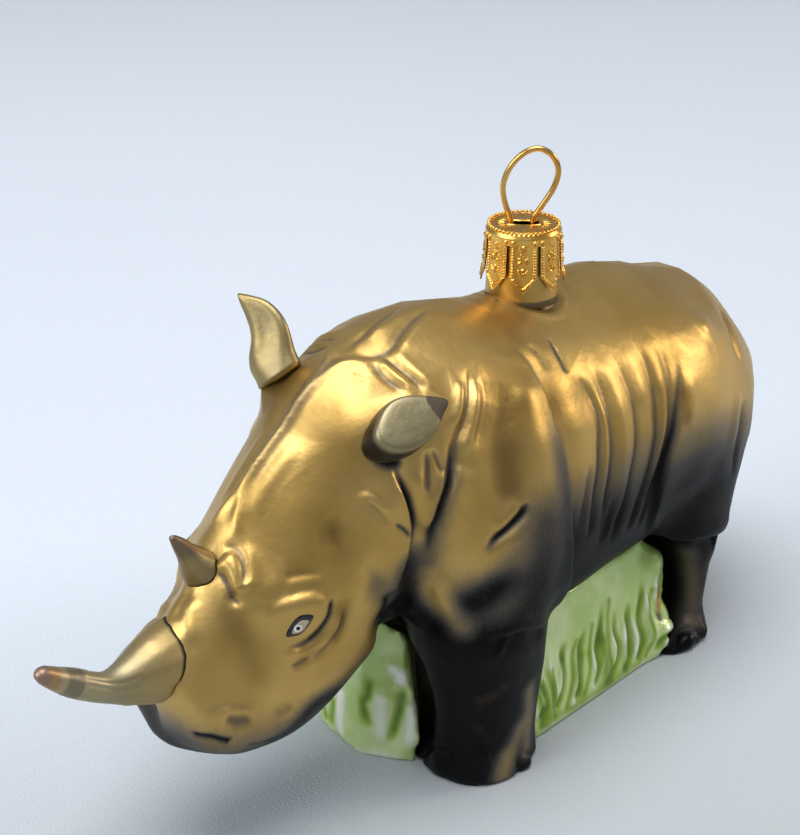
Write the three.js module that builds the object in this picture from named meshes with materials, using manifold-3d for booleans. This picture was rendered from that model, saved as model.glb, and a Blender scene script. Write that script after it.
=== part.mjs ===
// Rhinoceros hanging ornament: a mould-blown glass animal on a block of grass, with a stamped metal
// cap on its open neck and a sprung wire loop.
// Millimetres, +Z up. The animal faces -Y and its left side is +X. The origin is on the standing face,
// straight below the axis of the neck and cap.
import * as THREE from 'three';
import { mergeVertices } from 'three/addons/utils/BufferGeometryUtils.js';
import Module from 'manifold-3d';

const wasm = await Module();
wasm.setup();

// ---- Driving dimensions ----
const GAP = 0.3; // clearance between touching pieces
const REACH = 200; // edge of the boxes that keep one side of a cut
const UNDERFOOT = -6; // legs and block are shaped past the standing face and cut off level with it

// Sections of the animal, each from its highest to its lowest point in side view as [y, z], with its
// half width, the height of its widest line as a share of the section, and its roundness (2 is an oval).
const TRUNK = [
  { top: [-44, 60], bottom: [-36, 31.5], half: 12.5, waist: 0.5, power: 2.3 }, // nape
  { top: [-34, 64.8], bottom: [-33.5, 26], half: 16.6, waist: 0.47, power: 2.3 }, // throat
  { top: [-25.5, 66.2], bottom: [-30, 20.5], half: 20.2, waist: 0.42, power: 2.3 }, // chest
  { top: [-16.5, 65.6], bottom: [-20, 16.5], half: 22.2, waist: 0.4, power: 2.3 }, // shoulders
  { top: [-8, 63.6], bottom: [-9, 16.5], half: 21.6, waist: 0.42, power: 2.3 },
  { top: [2, 62], bottom: [1, 16.5], half: 20.8, waist: 0.44, power: 2.2 }, // below the cap
  { top: [13, 62], bottom: [11, 17], half: 20.8, waist: 0.45, power: 2.2 }, // barrel
  { top: [25, 60.3], bottom: [22, 18], half: 20.8, waist: 0.45, power: 2.2 },
  { top: [34.5, 55.5], bottom: [33, 19.5], half: 19.2, waist: 0.46, power: 2.3 }, // haunches
  { top: [42, 50.2], bottom: [40.5, 23.5], half: 15.4, waist: 0.48, power: 2.4 },
];
const TRUNK_DOMES = [2, 5]; // how far the first and the last section round out
const TRUNK_PEAK = 2.05; // roundness above the widest line
const HEAD = [
  { top: [-30, 65.5], bottom: [-25, 29], half: 14, waist: 0.45, power: 2.3 }, // inside the neck
  { top: [-37, 64.4], bottom: [-30.5, 27], half: 13.6, waist: 0.45, power: 2.3 }, // poll
  { top: [-45, 60.2], bottom: [-36.5, 23.8], half: 12.8, waist: 0.42, power: 2.4 }, // forehead
  { top: [-53, 54.2], bottom: [-42.5, 20.9], half: 12.3, waist: 0.4, power: 2.4 },
  { top: [-60, 46.8], bottom: [-48.5, 18.1], half: 11.8, waist: 0.38, power: 2.4 }, // eyes
  { top: [-65.5, 41.4], bottom: [-54.5, 16.3], half: 10.6, waist: 0.38, power: 2.5 },
  { top: [-69.8, 37.6], bottom: [-61.4, 16.9], half: 9.3, waist: 0.41, power: 2.5 }, // nostrils
  { top: [-71.8, 34], bottom: [-66.2, 18.4], half: 8.4, waist: 0.43, power: 2.6 }, // lips
];
const HEAD_DOMES = [0.5, 1.9];
const HEAD_PEAK = 1.85;
const SWELLS = [
  { centre: [13.4, -22, 35], half: [8.6, 10.5, 17], tilt: -0.1 }, // shoulder
  { centre: [13.4, 24.5, 33], half: [7.4, 13, 17], tilt: 0.12 }, // haunch
];

// A leg's or the block's level sections: its middle in x, its reach in y to the front and the back.
const LEG_TOP = 19.5; // where a leg is parted from the trunk
const FRONT_LEG = [
  { z: 26, x: 12.2, front: -33, back: -13.5, half: 9.3 },
  { z: 20, x: 12.2, front: -32.6, back: -13.3, half: 9.3 },
  { z: 10, x: 12.2, front: -31, back: -14.4, half: 8.3 }, // wrist
  { z: 4, x: 12, front: -30.8, back: -14.6, half: 8.1 },
  { z: 0, x: 12, front: -31.2, back: -14, half: 8.6 }, // foot
  { z: UNDERFOOT, x: 12, front: -31.2, back: -14, half: 8.6 },
];
const REAR_LEG = [
  { z: 28, x: 13, front: 12, back: 35, half: 8 },
  { z: 21, x: 13.4, front: 16, back: 32.5, half: 7.4 }, // knee
  { z: 14, x: 13.8, front: 20, back: 30.8, half: 6.6 },
  { z: 6, x: 13.8, front: 20, back: 29, half: 6.2 }, // hock
  { z: 0, x: 13.8, front: 15.6, back: 28.4, half: 6.8 }, // foot
  { z: UNDERFOOT, x: 13.8, front: 15.6, back: 28.4, half: 6.8 },
];
const LEG_POWER = 2.3;
const UPRIGHT_DOMES = [0.5, 0.5]; // how far a leg's or the block's ends round out
const STEP = 3; // how far the right feet are set towards each other
const BLOCK = [
  { z: 24, x: 0, front: -28, back: 26, half: 11.5 },
  { z: 12, x: 0, front: -29, back: 28, half: 14.2 },
  { z: 2.5, x: 0, front: -30, back: 30, half: 17.2 },
  { z: 0, x: 0, front: -30, back: 30, half: 17.2 },
  { z: UNDERFOOT, x: 0, front: -30, back: 30, half: 17.2 },
];
const BLOCK_POWER = 5;

// Rounded ridge along the mould's parting line, up both ends of the block. Its place in x is a share of
// the block's half width.
const SEAM = { depth: 5.8, at: -0.19, steepness: 2.1 };

// Planes that part the head from the neck and the neck from the trunk: a point [y, z] and a lean.
const HEAD_CUT = { through: [-36, 47], lean: 0.12 };
const NECK_CUT = { through: [-28, 47], lean: 0.1 };

// Tapering bars: the middle line from root to tip, with a radius at each of its points.
const TAIL = {
  path: [[0, 43, 45.5], [2, 46.6, 42], [4.2, 48.2, 36.5], [6, 47.2, 30], [7, 44.6, 24]],
  radius: [1.2, 1.7, 1.6, 1.4, 1.7],
};
const FRONT_HORN = {
  path: [
    [0, -66.5, 33.2], [0, -71.2, 33.2], [0, -75.6, 33.2], [0, -79.6, 34.4], [0, -84, 36.9], [0, -87.6, 39.7],
  ],
  radius: [5.2, 5.2, 3.9, 2.5, 1.9, 1.2],
};
const REAR_HORN = {
  path: [[0, -60.5, 41.5], [0, -63.2, 44.8], [0, -66.9, 49.6]],
  radius: [3.3, 2.9, 0.5],
};

// An ear is a cupped leaf. 'along' points to its tip, and 'face' is the way that its hollow looks.
const EAR = { half: [2.4, 3.9, 4.2, 3.3, 1.1], thick: 1.3, cup: 0.9, tip: 0.8 };
const LEFT_EAR = {
  root: [10.4, -41.4, 58.4], along: [8.6, 5.2, 4.6], face: [0.3, -0.9, 0.75], length: 10.2, bow: 0.3,
};
const RIGHT_EAR = {
  root: [-8, -41, 58.6], along: [-6.4, -1.3, 12], face: [0, -0.95, 0.2], length: 13, bow: -1.8,
};

const EYE = { centre: [11.1, -56, 36.2], half: [1.1, 2.4, 1.6], tilt: -0.75, turn: -0.25 };

// Open glass neck: outer and inner radius, its floor inside, its root in the back and its rim.
const NECK = { radius: 4.25, bore: 3.3, floor: 60.9, foot: 59.8, rim: 72.2 };

// Stamped cap: a disc with a slot, and a skirt that flares out from the shoulder in pointed petals.
const CAP = { top: 73.1, radius: 5.4, shoulder: 1.6, flare: 0.55, skirt: 8.6, sheet: 0.5 };
const PETALS = { count: 8, slit: 0.6, point: 3, rise: 6.2, inner: 3.5, outer: 8 };
const SLOT = { width: 5.6, depth: 1.7 };

// Hanger of spring wire. It is a round loop above the cap, and its two legs run through the slot, from
// 'above' it to 'below' it, and spread inside the neck.
const WIRE = {
  radius: 0.38, loop: 3.85, centre: 79.9, lean: 0.7, open: 0.9, waist: 1.65, above: 0.6, below: 2,
  foot: 2.3, low: 63.4,
};
const WIRE_TURN = 0.72; // angle of the loop's and the slot's plane from +X towards +Y

// How finely each skin is divided, round it and along it.
const FINE = {
  trunk: { around: 24, rows: 18 },
  head: { around: 24, rows: 16 },
  leg: { around: 16, rows: 8 },
  block: { around: 32, rows: 5 },
  tail: { around: 8, rows: 10 },
  frontHorn: { around: 14, rows: 12 },
  rearHorn: { around: 12, rows: 5 },
  ear: { around: 12, rows: 8 },
  swell: { around: 14, rows: 8 },
  eye: { around: 10, rows: 6 },
  neck: 24,
  cap: 32,
  wire: { loop: 10, length: 44, section: 4 },
};
const DOME_ROWS = 3; // rows on each rounded end of a loft or a bar
const EAR_DOME_ROWS = 2;

// ---- Solids ----
function solid(geometry) {
  const bare = geometry.clone();
  bare.deleteAttribute('normal');
  bare.deleteAttribute('uv');
  const merged = mergeVertices(bare, 1e-4);
  const vertProperties = Float32Array.from(merged.attributes.position.array);
  const triVerts = Uint32Array.from(merged.index.array);
  const made = new wasm.Manifold(new wasm.Mesh({ numProp: 3, vertProperties, triVerts }));
  if (made.volume() > 0) return made;
  triVerts.reverse(); // faces that look inwards are turned round
  return new wasm.Manifold(new wasm.Mesh({ numProp: 3, vertProperties, triVerts }));
}

function surface(manifold) {
  const mesh = manifold.getMesh();
  const geometry = new THREE.BufferGeometry();
  geometry.setAttribute('position', new THREE.BufferAttribute(mesh.vertProperties, 3));
  geometry.setIndex(new THREE.BufferAttribute(mesh.triVerts, 1));
  geometry.computeVertexNormals();
  return geometry;
}

function join(solids) {
  return solids.reduce((whole, next) => whole.add(next));
}

function cut(body, cutters) {
  return cutters.reduce((rest, cutter) => rest.subtract(cutter), body);
}

// All that lies ahead of a plane (towards -Y) or behind it, less half of the gap.
function half({ through, lean }, ahead) {
  const box = new THREE.BoxGeometry(REACH, REACH, REACH);
  box.translate(0, (ahead ? -1 : 1) * (REACH + GAP) / 2, 0);
  box.rotateX(lean);
  box.translate(0, ...through);
  return solid(box);
}

// All that lies between two heights.
function layer(low, high) {
  const box = new THREE.BoxGeometry(REACH, REACH, high - low);
  box.translate(0, 0, (low + high) / 2);
  return solid(box);
}

// ---- Lofts ----
function curve(points) {
  return new THREE.CatmullRomCurve3(points, false, 'catmullrom', 0.5);
}

// A superellipse's reach along one axis, for the cosine or sine of its angle.
function squared(value, power) {
  return Math.sign(value) * Math.abs(value) ** (2 / power);
}

// A closed skin over rings of points. The rows of a sphere become the rings, so both ends are closed.
function skin(rings, around) {
  const geometry = new THREE.SphereGeometry(1, around, rings.length - 1);
  const place = geometry.attributes.position;
  rings.forEach((ring, row) => {
    for (let column = 0; column <= around; column += 1) {
      const point = ring((2 * Math.PI * (column % around)) / around);
      place.setXYZ(row * (around + 1) + column, point.x, point.y, point.z);
    }
  });
  return geometry;
}

// Where a skin's rings are: t along its middle line, and at each end a dome that closes to a point.
function stations(rows, domeRows) {
  const list = [];
  for (let row = -domeRows; row <= rows + domeRows; row += 1) {
    const t = Math.min(Math.max(row / rows, 0), 1);
    const past = (row < 0 ? row : Math.max(row - rows, 0)) / domeRows;
    const bend = (past * Math.PI) / 2;
    list.push({ t, out: Math.sin(bend), shrink: Math.abs(past) === 1 ? 0 : Math.cos(bend) });
  }
  return list;
}

// An oval skin between a top and a bottom line. 'grow' makes it larger all round, and 'ridge' adds
// to its height by the place across its width, which runs towards -X on an upright skin.
function loft(sections, { around, rows }, { domes, peak, grow = 0, ridge = () => 0 }) {
  const tops = curve(sections.map((s) => new THREE.Vector3(s.x ?? 0, ...s.top)));
  const bottoms = curve(sections.map((s) => new THREE.Vector3(s.x ?? 0, ...s.bottom)));
  const forms = curve(sections.map((s) => new THREE.Vector3(s.half, s.waist, s.power)));
  const rings = stations(rows, DOME_ROWS).map(({ t, out, shrink }) => {
    const top = tops.getPoint(t);
    const bottom = bottoms.getPoint(t);
    const { x: width, y: waist, z: power } = forms.getPoint(t);
    const height = top.distanceTo(bottom);
    const up = top.clone().sub(bottom).normalize();
    const side = tops.getTangent(t).add(bottoms.getTangent(t)).cross(up).normalize();
    const onward = up.clone().cross(side);
    const dome = (out < 0 ? domes[0] : domes[1]) + grow;
    const centre = bottom.lerp(top, waist).addScaledVector(onward, out * dome);
    return (angle) => {
      const round = Math.sin(angle) > 0 && peak ? peak : power;
      const across = squared(Math.cos(angle), round);
      const along = squared(Math.sin(angle), round);
      const reach = height * (along > 0 ? 1 - waist : waist) + grow + ridge(across);
      return centre.clone()
        .addScaledVector(side, (width + grow) * across * shrink)
        .addScaledVector(up, reach * along * shrink);
    };
  });
  return solid(skin(rings, around));
}

// A tapering round bar with domed ends.
function bar({ path, radius }, { around, rows }) {
  const line = curve(path.map((p) => new THREE.Vector3(...p)));
  const widths = curve(radius.map((r, i) => new THREE.Vector3(r, i, 0)));
  const rings = stations(rows, DOME_ROWS).map(({ t, out, shrink }) => {
    const onward = line.getTangent(t);
    const side = new THREE.Vector3(1, 0, 0).addScaledVector(onward, -onward.x).normalize();
    const up = onward.clone().cross(side);
    const width = widths.getPoint(t).x;
    const centre = line.getPoint(t).addScaledVector(onward, out * width);
    return (angle) => centre.clone()
      .addScaledVector(side, width * shrink * Math.cos(angle))
      .addScaledVector(up, width * shrink * Math.sin(angle));
  });
  return solid(skin(rings, around));
}

// A leg or the block: its top line runs down the front and its bottom line down the back.
function upright(sections, power, fine, options) {
  const laid = sections.map(({ x, z, front, back, half: width }) => (
    { x, top: [front, z], bottom: [back, z], half: width, waist: 0.5, power }
  ));
  return loft(laid, fine, { domes: UPRIGHT_DOMES, ...options });
}

// An oval ball, tilted about X and then turned about Z. 'mirror' is 1 on the left side and -1 on the right.
function ball({ half: half3, centre, tilt, turn = 0 }, { around, rows }, mirror, grow = 0) {
  const geometry = new THREE.SphereGeometry(1, around, rows);
  geometry.scale(...half3.map((h) => h + grow));
  geometry.rotateX(tilt);
  geometry.rotateZ(turn * mirror);
  geometry.translate(centre[0] * mirror, centre[1], centre[2]);
  return solid(geometry);
}

// A ring or cup turned round the neck's axis, from a profile of [radius, z] that closes on itself.
function turned(profile, segments) {
  const lathe = new THREE.LatheGeometry(profile.map(([r, z]) => new THREE.Vector2(r, z)), segments);
  lathe.rotateX(Math.PI / 2);
  return solid(lathe);
}

// ---- Sub-parts ----
function trunkSkin(grow) {
  const body = loft(TRUNK, FINE.trunk, { domes: TRUNK_DOMES, peak: TRUNK_PEAK, grow });
  const swells = SWELLS.flatMap((swell) => [1, -1].map((mirror) => ball(swell, FINE.swell, mirror, grow)));
  return join([body, ...swells]);
}

function headSkin(grow) {
  return loft(HEAD, FINE.head, { domes: HEAD_DOMES, peak: HEAD_PEAK, grow });
}

function legSkin({ sections, mirror, step }, grow) {
  const placed = sections.map(({ x, front, back, ...rest }) => (
    { ...rest, x: x * mirror, front: front + step, back: back + step }
  ));
  return upright(placed, LEG_POWER, FINE.leg, { grow });
}

function grassBlock() {
  const ridge = (across) => SEAM.depth * Math.exp(-((SEAM.steepness * (across + SEAM.at)) ** 2));
  return upright(BLOCK, BLOCK_POWER, FINE.block, { ridge });
}

function ear({ root, along, face, length, bow }) {
  const onward = new THREE.Vector3(...along).normalize();
  const side = new THREE.Vector3(...face).cross(onward).normalize();
  const front = onward.clone().cross(side);
  const widths = curve(EAR.half.map((width, i) => new THREE.Vector3(width, i, 0)));
  const rings = stations(FINE.ear.rows, EAR_DOME_ROWS).map(({ t, out, shrink }) => {
    const width = widths.getPoint(t).x;
    const centre = new THREE.Vector3(...root).addScaledVector(onward, length * t + EAR.tip * out);
    centre.addScaledVector(side, bow * Math.sin(Math.PI * t));
    return (angle) => {
      const across = Math.cos(angle) * shrink;
      const depth = (Math.sin(angle) * shrink * EAR.thick) / 2;
      const cupped = EAR.cup * across * across * (width / Math.max(...EAR.half));
      return centre.clone().addScaledVector(side, width * across).addScaledVector(front, depth + cupped);
    };
  });
  return solid(skin(rings, FINE.ear.around));
}

function eye(mirror, grow = 0) {
  return ball(EYE, FINE.eye, mirror, grow);
}

function glassNeck() {
  return turned([
    [0, NECK.foot], [NECK.radius, NECK.foot], [NECK.radius, NECK.rim],
    [NECK.bore, NECK.rim], [NECK.bore, NECK.floor], [0, NECK.floor],
  ], FINE.neck);
}

function neckSeat() {
  const out = NECK.radius + GAP;
  const low = NECK.foot - GAP;
  return turned([[0, low], [out, low], [out, NECK.rim], [0, NECK.rim]], FINE.neck);
}

// The opening between two petals: a slit that widens below to leave each petal a point.
function petalNotch() {
  const low = CAP.top - CAP.skirt;
  const wide = (Math.PI * (CAP.radius + CAP.flare)) / PETALS.count;
  const side = PETALS.slit / 2;
  const outline = new THREE.Shape();
  outline.moveTo(-wide, low - PETALS.slit);
  outline.lineTo(wide, low - PETALS.slit);
  outline.lineTo(wide - side / 2, low);
  outline.lineTo(side, low + PETALS.point);
  outline.lineTo(side, low + PETALS.rise);
  outline.lineTo(-side, low + PETALS.rise);
  outline.lineTo(-side, low + PETALS.point);
  outline.lineTo(-wide + side / 2, low);
  const depth = PETALS.outer - PETALS.inner;
  const notch = new THREE.ExtrudeGeometry(outline, { depth, bevelEnabled: false });
  notch.translate(0, 0, PETALS.inner);
  notch.rotateX(Math.PI / 2);
  return notch;
}

function cap() {
  const low = CAP.top - CAP.skirt;
  const wide = CAP.radius + CAP.flare;
  const bend = CAP.top - CAP.shoulder;
  const crown = turned([
    [0, CAP.top - CAP.sheet], [CAP.radius - CAP.sheet, CAP.top - CAP.sheet],
    [CAP.radius - CAP.sheet, bend], [wide - CAP.sheet, low], [wide, low],
    [CAP.radius, bend], [CAP.radius, CAP.top], [0, CAP.top],
  ], FINE.cap);
  const notches = [];
  for (let i = 0; i < PETALS.count; i += 1) {
    notches.push(solid(petalNotch().rotateZ((2 * Math.PI * (i + 0.5)) / PETALS.count)));
  }
  const slot = new THREE.BoxGeometry(SLOT.width, SLOT.depth, 4 * CAP.sheet);
  slot.rotateZ(WIRE_TURN);
  slot.translate(0, 0, CAP.top);
  return cut(crown, [...notches, solid(slot)]);
}

function hanger() {
  const at = (across, z) => new THREE.Vector3(across * Math.cos(WIRE_TURN), across * Math.sin(WIRE_TURN), z);
  const leg = (side) => [
    at(side * WIRE.foot, WIRE.low), at(side * WIRE.waist, CAP.top - WIRE.below),
    at(side * WIRE.waist, CAP.top + WIRE.above),
  ];
  const points = leg(-1);
  const start = 1.5 * Math.PI - WIRE.open;
  for (let i = 0; i <= FINE.wire.loop; i += 1) {
    const angle = start - ((2 * Math.PI - 2 * WIRE.open) * i) / FINE.wire.loop;
    points.push(at(WIRE.lean + WIRE.loop * Math.cos(angle), WIRE.centre + WIRE.loop * Math.sin(angle)));
  }
  points.push(...leg(1).reverse());
  const round = new THREE.Shape().absarc(0, 0, WIRE.radius, 0, 2 * Math.PI);
  const extrudePath = new THREE.CatmullRomCurve3(points);
  const { length: steps, section: curveSegments } = FINE.wire;
  return new THREE.ExtrudeGeometry(round, { extrudePath, steps, curveSegments });
}

// ---- Finishes ----
function finish(color, roughness, metalness) {
  return new THREE.MeshStandardMaterial({ color, roughness, metalness });
}

const lacquer = () => finish('#9a7434', 0.38, 0.85);
const smoked = () => finish('#2e2c30', 0.55, 0.5);
const pewter = () => finish('#8d8576', 0.4, 0.75);
const grass = () => finish('#b9d39a', 0.35, 0.1);
const eyePaint = () => finish('#c9c7c0', 0.3, 0.4);
const brass = () => finish('#d9a441', 0.25, 1);

// ---- The ornament ----
const group = new THREE.Group();

function piece(name, geometry, material) {
  const mesh = new THREE.Mesh(geometry, material);
  mesh.name = name;
  group.add(mesh);
}

const legs = [
  { name: 'leg_front_left', sections: FRONT_LEG, mirror: 1, step: 0 },
  { name: 'leg_front_right', sections: FRONT_LEG, mirror: -1, step: STEP },
  { name: 'leg_rear_left', sections: REAR_LEG, mirror: 1, step: 0 },
  { name: 'leg_rear_right', sections: REAR_LEG, mirror: -1, step: -STEP },
];
const hips = legs.map((leg) => legSkin(leg, 0).intersect(layer(LEG_TOP + GAP, REACH)));
const flesh = join([trunkSkin(0), headSkin(0), ...hips]);
const trunkRoom = trunkSkin(GAP);
const headRoom = headSkin(GAP);
const ahead = (plane) => half(plane, true);
const behind = (plane) => half(plane, false);

const head = cut(flesh.intersect(ahead(HEAD_CUT)), [eye(1, GAP), eye(-1, GAP)]);
const neck = flesh.intersect(behind(HEAD_CUT)).intersect(ahead(NECK_CUT));
const trunk = flesh.intersect(behind(NECK_CUT)).subtract(neckSeat());
piece('head', surface(head), lacquer());
piece('neck', surface(neck), lacquer());
piece('trunk', surface(trunk), lacquer());
piece('tail', surface(bar(TAIL, FINE.tail).subtract(trunkRoom)), lacquer());

const legRooms = [];
for (const leg of legs) {
  piece(leg.name, surface(legSkin(leg, 0).intersect(layer(0, LEG_TOP)).subtract(trunkRoom)), smoked());
  legRooms.push(legSkin(leg, GAP));
}
const base = cut(grassBlock().intersect(layer(0, REACH)), [trunkRoom, headRoom, ...legRooms]);
piece('grass_base', surface(base), grass());

piece('ear_left', surface(ear(LEFT_EAR).subtract(headRoom).subtract(trunkRoom)), pewter());
piece('ear_right', surface(ear(RIGHT_EAR).subtract(headRoom).subtract(trunkRoom)), pewter());
piece('horn_front', surface(bar(FRONT_HORN, FINE.frontHorn).subtract(headRoom)), pewter());
piece('horn_rear', surface(bar(REAR_HORN, FINE.rearHorn).subtract(headRoom)), pewter());
piece('eye_left', surface(eye(1)), eyePaint());
piece('eye_right', surface(eye(-1)), eyePaint());
piece('glass_neck', surface(glassNeck()), lacquer());
piece('cap', surface(cap()), brass());
piece('hanger', hanger(), brass());

export default group;
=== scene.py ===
import math

import bpy
import numpy as np
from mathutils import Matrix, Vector
from mathutils.bvhtree import BVHTree


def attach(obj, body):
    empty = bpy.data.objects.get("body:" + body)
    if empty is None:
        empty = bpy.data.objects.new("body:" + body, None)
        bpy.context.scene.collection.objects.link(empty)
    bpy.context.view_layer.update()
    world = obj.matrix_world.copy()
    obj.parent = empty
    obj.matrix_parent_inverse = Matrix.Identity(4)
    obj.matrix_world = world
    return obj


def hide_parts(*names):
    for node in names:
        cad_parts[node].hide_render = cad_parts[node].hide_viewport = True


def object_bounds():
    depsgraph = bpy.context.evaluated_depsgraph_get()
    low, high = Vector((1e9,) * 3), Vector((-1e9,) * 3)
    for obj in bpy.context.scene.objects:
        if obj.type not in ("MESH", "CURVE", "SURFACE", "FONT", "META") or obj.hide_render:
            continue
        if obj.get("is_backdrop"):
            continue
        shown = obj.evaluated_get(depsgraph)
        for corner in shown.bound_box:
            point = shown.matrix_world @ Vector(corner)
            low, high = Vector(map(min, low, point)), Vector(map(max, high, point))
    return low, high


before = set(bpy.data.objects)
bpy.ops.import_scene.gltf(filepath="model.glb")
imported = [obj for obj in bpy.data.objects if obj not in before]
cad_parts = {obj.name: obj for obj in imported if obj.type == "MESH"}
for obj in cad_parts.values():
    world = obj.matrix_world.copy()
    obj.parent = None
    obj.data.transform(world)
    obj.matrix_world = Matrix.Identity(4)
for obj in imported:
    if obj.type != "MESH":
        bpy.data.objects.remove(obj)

cad_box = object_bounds()
MM = 0.001


# ---- Camera, table and lights ----
# The ornament stands on a pale cloth under soft window light. The camera looks down on its left
# shoulder from the front.
PICTURE = (800, 835)  # width and height of the picture in pixels
FOCAL = 1800  # focal length in pixels
SENSOR = 36.0  # width of the film in millimetres
AZIMUTH, PITCH = 43.0, 25.81  # degrees round from the front, and down
CAMERA_AT = Vector((152.1, -188.9, 159.4)) * MM

bpy.ops.object.select_all(action="DESELECT")
bpy.ops.object.camera_add(
    location=CAMERA_AT, rotation=(math.radians(90 - PITCH), 0, math.radians(AZIMUTH))
)
camera = bpy.context.object
camera.data.sensor_width = SENSOR
camera.data.lens = SENSOR * FOCAL / max(PICTURE)
camera.data.clip_start = 0.01
bpy.context.scene.camera = camera
bpy.context.scene.view_settings.view_transform = "Standard"
bpy.context.view_layer.update()


class Value:
    """One output of a node. Arithmetic on it adds Math nodes."""

    def __init__(self, finish, socket):
        self.finish = finish
        self.socket = socket

    def math(self, operation, *others):
        return self.finish.node("Math", {"operation": operation}, [self, *others])

    def __add__(self, other):
        return self.math("ADD", other)

    __radd__ = __add__

    def __sub__(self, other):
        return self.math("SUBTRACT", other)

    def __rsub__(self, other):
        return (self * -1) + other

    def __mul__(self, other):
        return self.math("MULTIPLY", other)

    __rmul__ = __mul__

    def __abs__(self):
        return self.math("ABSOLUTE")


class Finish:
    """A material with one Principled shader, and the nodes that feed it."""

    GRAIN = 0.55  # how rough the small waves of every noise are

    def __init__(self, name, **constants):
        self.material = bpy.data.materials.new(name)
        self.material.use_nodes = True
        self.tree = self.material.node_tree
        self.shader = self.tree.nodes["Principled BSDF"]
        for socket, value in constants.items():
            self.shader.inputs[socket.replace("_", " ")].default_value = value

    def node(self, kind, settings=None, inputs=(), output=0):
        """Adds a node of this kind. Inputs are a list in order, or a dict by name or number."""
        node = self.tree.nodes.new("ShaderNode" + kind)
        for name, value in (settings or {}).items():
            setattr(node, name, value)
        pairs = inputs.items() if isinstance(inputs, dict) else enumerate(inputs)
        for name, value in pairs:
            self.feed(node.inputs[name], value)
        return Value(self, node.outputs[output])

    def feed(self, socket, value):
        if isinstance(value, Value):
            self.tree.links.new(value.socket, socket)
        else:
            socket.default_value = value

    def set(self, **sockets):
        for name, value in sockets.items():
            self.feed(self.shader.inputs[name.replace("_", " ")], value)

    def place(self):
        return self.node("TexCoord", output="Object")

    def along(self, place, axis):
        return self.node("SeparateXYZ", inputs=[place], output="XYZ".index(axis))

    def attribute(self, name):
        return self.node("Attribute", {"attribute_name": name}, output="Fac")

    def noise(self, place, scale, detail=3.0, stretch=None):
        if stretch:
            place = self.node("Mapping", inputs={"Vector": place, "Scale": stretch})
        inputs = {"Vector": place, "Scale": scale, "Detail": detail, "Roughness": self.GRAIN}
        return self.node("TexNoise", inputs=inputs, output="Fac")

    def step(self, value, low, high):
        """Runs smoothly from 0 to 1 as the value goes from low to high."""
        return self.node("MapRange", {"interpolation_type": "SMOOTHSTEP"}, [value, low, high])

    def color(self, value):
        return value if isinstance(value, Value) else (*rgb(value), 1)

    def mix(self, share, first, second):
        colors = {0: share, 6: self.color(first), 7: self.color(second)}
        return self.node("Mix", {"data_type": "RGBA"}, colors, output=2)

    def coats(self, tone, *coats):
        """Coats over a tone. Each comes in as its value goes from low to high."""
        for value, low, high, color in coats:
            tone = self.mix(self.step(value, low, high), tone, color)
        return tone

    def bump(self, height, depth, over=None):
        inputs = {"Strength": 1.0, "Distance": depth, "Height": height}
        if over:
            inputs["Normal"] = over
        return self.node("Bump", inputs=inputs, output="Normal")

    def grainy(self, place, scale, depth, detail=3.0):
        return self.bump(self.noise(place, scale, detail), depth)


def rgb(code):
    """A colour as the shader wants it, from the six hexadecimal digits of its sRGB value."""
    parts = [int(code[i:i + 2], 16) / 255 for i in (0, 2, 4)]
    return tuple(p / 12.92 if p <= 0.04045 else ((p + 0.055) / 1.055) ** 2.4 for p in parts)


def coat(piece, finish):
    piece.data.materials.clear()
    piece.data.materials.append(finish.material)


# The cloth's colour is painted darker towards the front and right: painted shade on the floor.
CLOTH_SIZE = 6.0
NEARER = (0.85, -0.6)  # the way across the cloth in which its shade comes in
SHADE = (-0.06, 0.09)  # from where to where it comes in, in metres
bpy.ops.mesh.primitive_plane_add(size=CLOTH_SIZE)
cloth = bpy.context.object
cloth.name = "cloth"
cloth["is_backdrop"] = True
woven = Finish("white_cloth", Roughness=0.85)
ground = woven.place()
patchy = woven.noise(ground, 3.0, 2.0)
nearer = woven.along(ground, "X") * NEARER[0] + woven.along(ground, "Y") * NEARER[1]
woven.set(
    Base_Color=woven.coats(woven.mix(patchy, "c6cbd0", "cfd4d8"), (nearer, *SHADE, "a8acaa")),
    Normal=woven.grainy(ground, 2500.0, 0.00012, 2.0),
)
coat(cloth, woven)

world = bpy.data.worlds.new("studio")
world.use_nodes = True
bpy.context.scene.world = world
air = world.node_tree.nodes["Background"]
air.inputs["Color"].default_value = (*rgb("ced6e2"), 1)
air.inputs["Strength"].default_value = 0.44

# Each lamp's place, width and height, power and colour. All are turned to the middle of the body.
LAMPS = {
    "window": ((0.72, 1.05, 0.55), (0.5, 0.45), 4.8, "fff4e4"),
    "ceiling": ((0.05, -0.12, 0.95), (0.8, 0.8), 9.5, "f6f9ff"),
    "front_fill": ((-0.35, -0.95, 0.60), (0.9, 0.6), 7.5, "eef4ff"),
}
BODY_MIDDLE = Vector((0, -0.01, 0.035))
for name, (place, size, power, color) in LAMPS.items():
    bpy.ops.object.light_add(type="AREA", location=place)
    lamp = bpy.context.object
    lamp.name = name
    lamp.data.shape = "ELLIPSE"
    lamp.data.size, lamp.data.size_y = size
    lamp.data.energy = power
    lamp.data.color = rgb(color)
    lamp.rotation_euler = (BODY_MIDDLE - Vector(place)).to_track_quat("-Z", "Y").to_euler()


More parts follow.
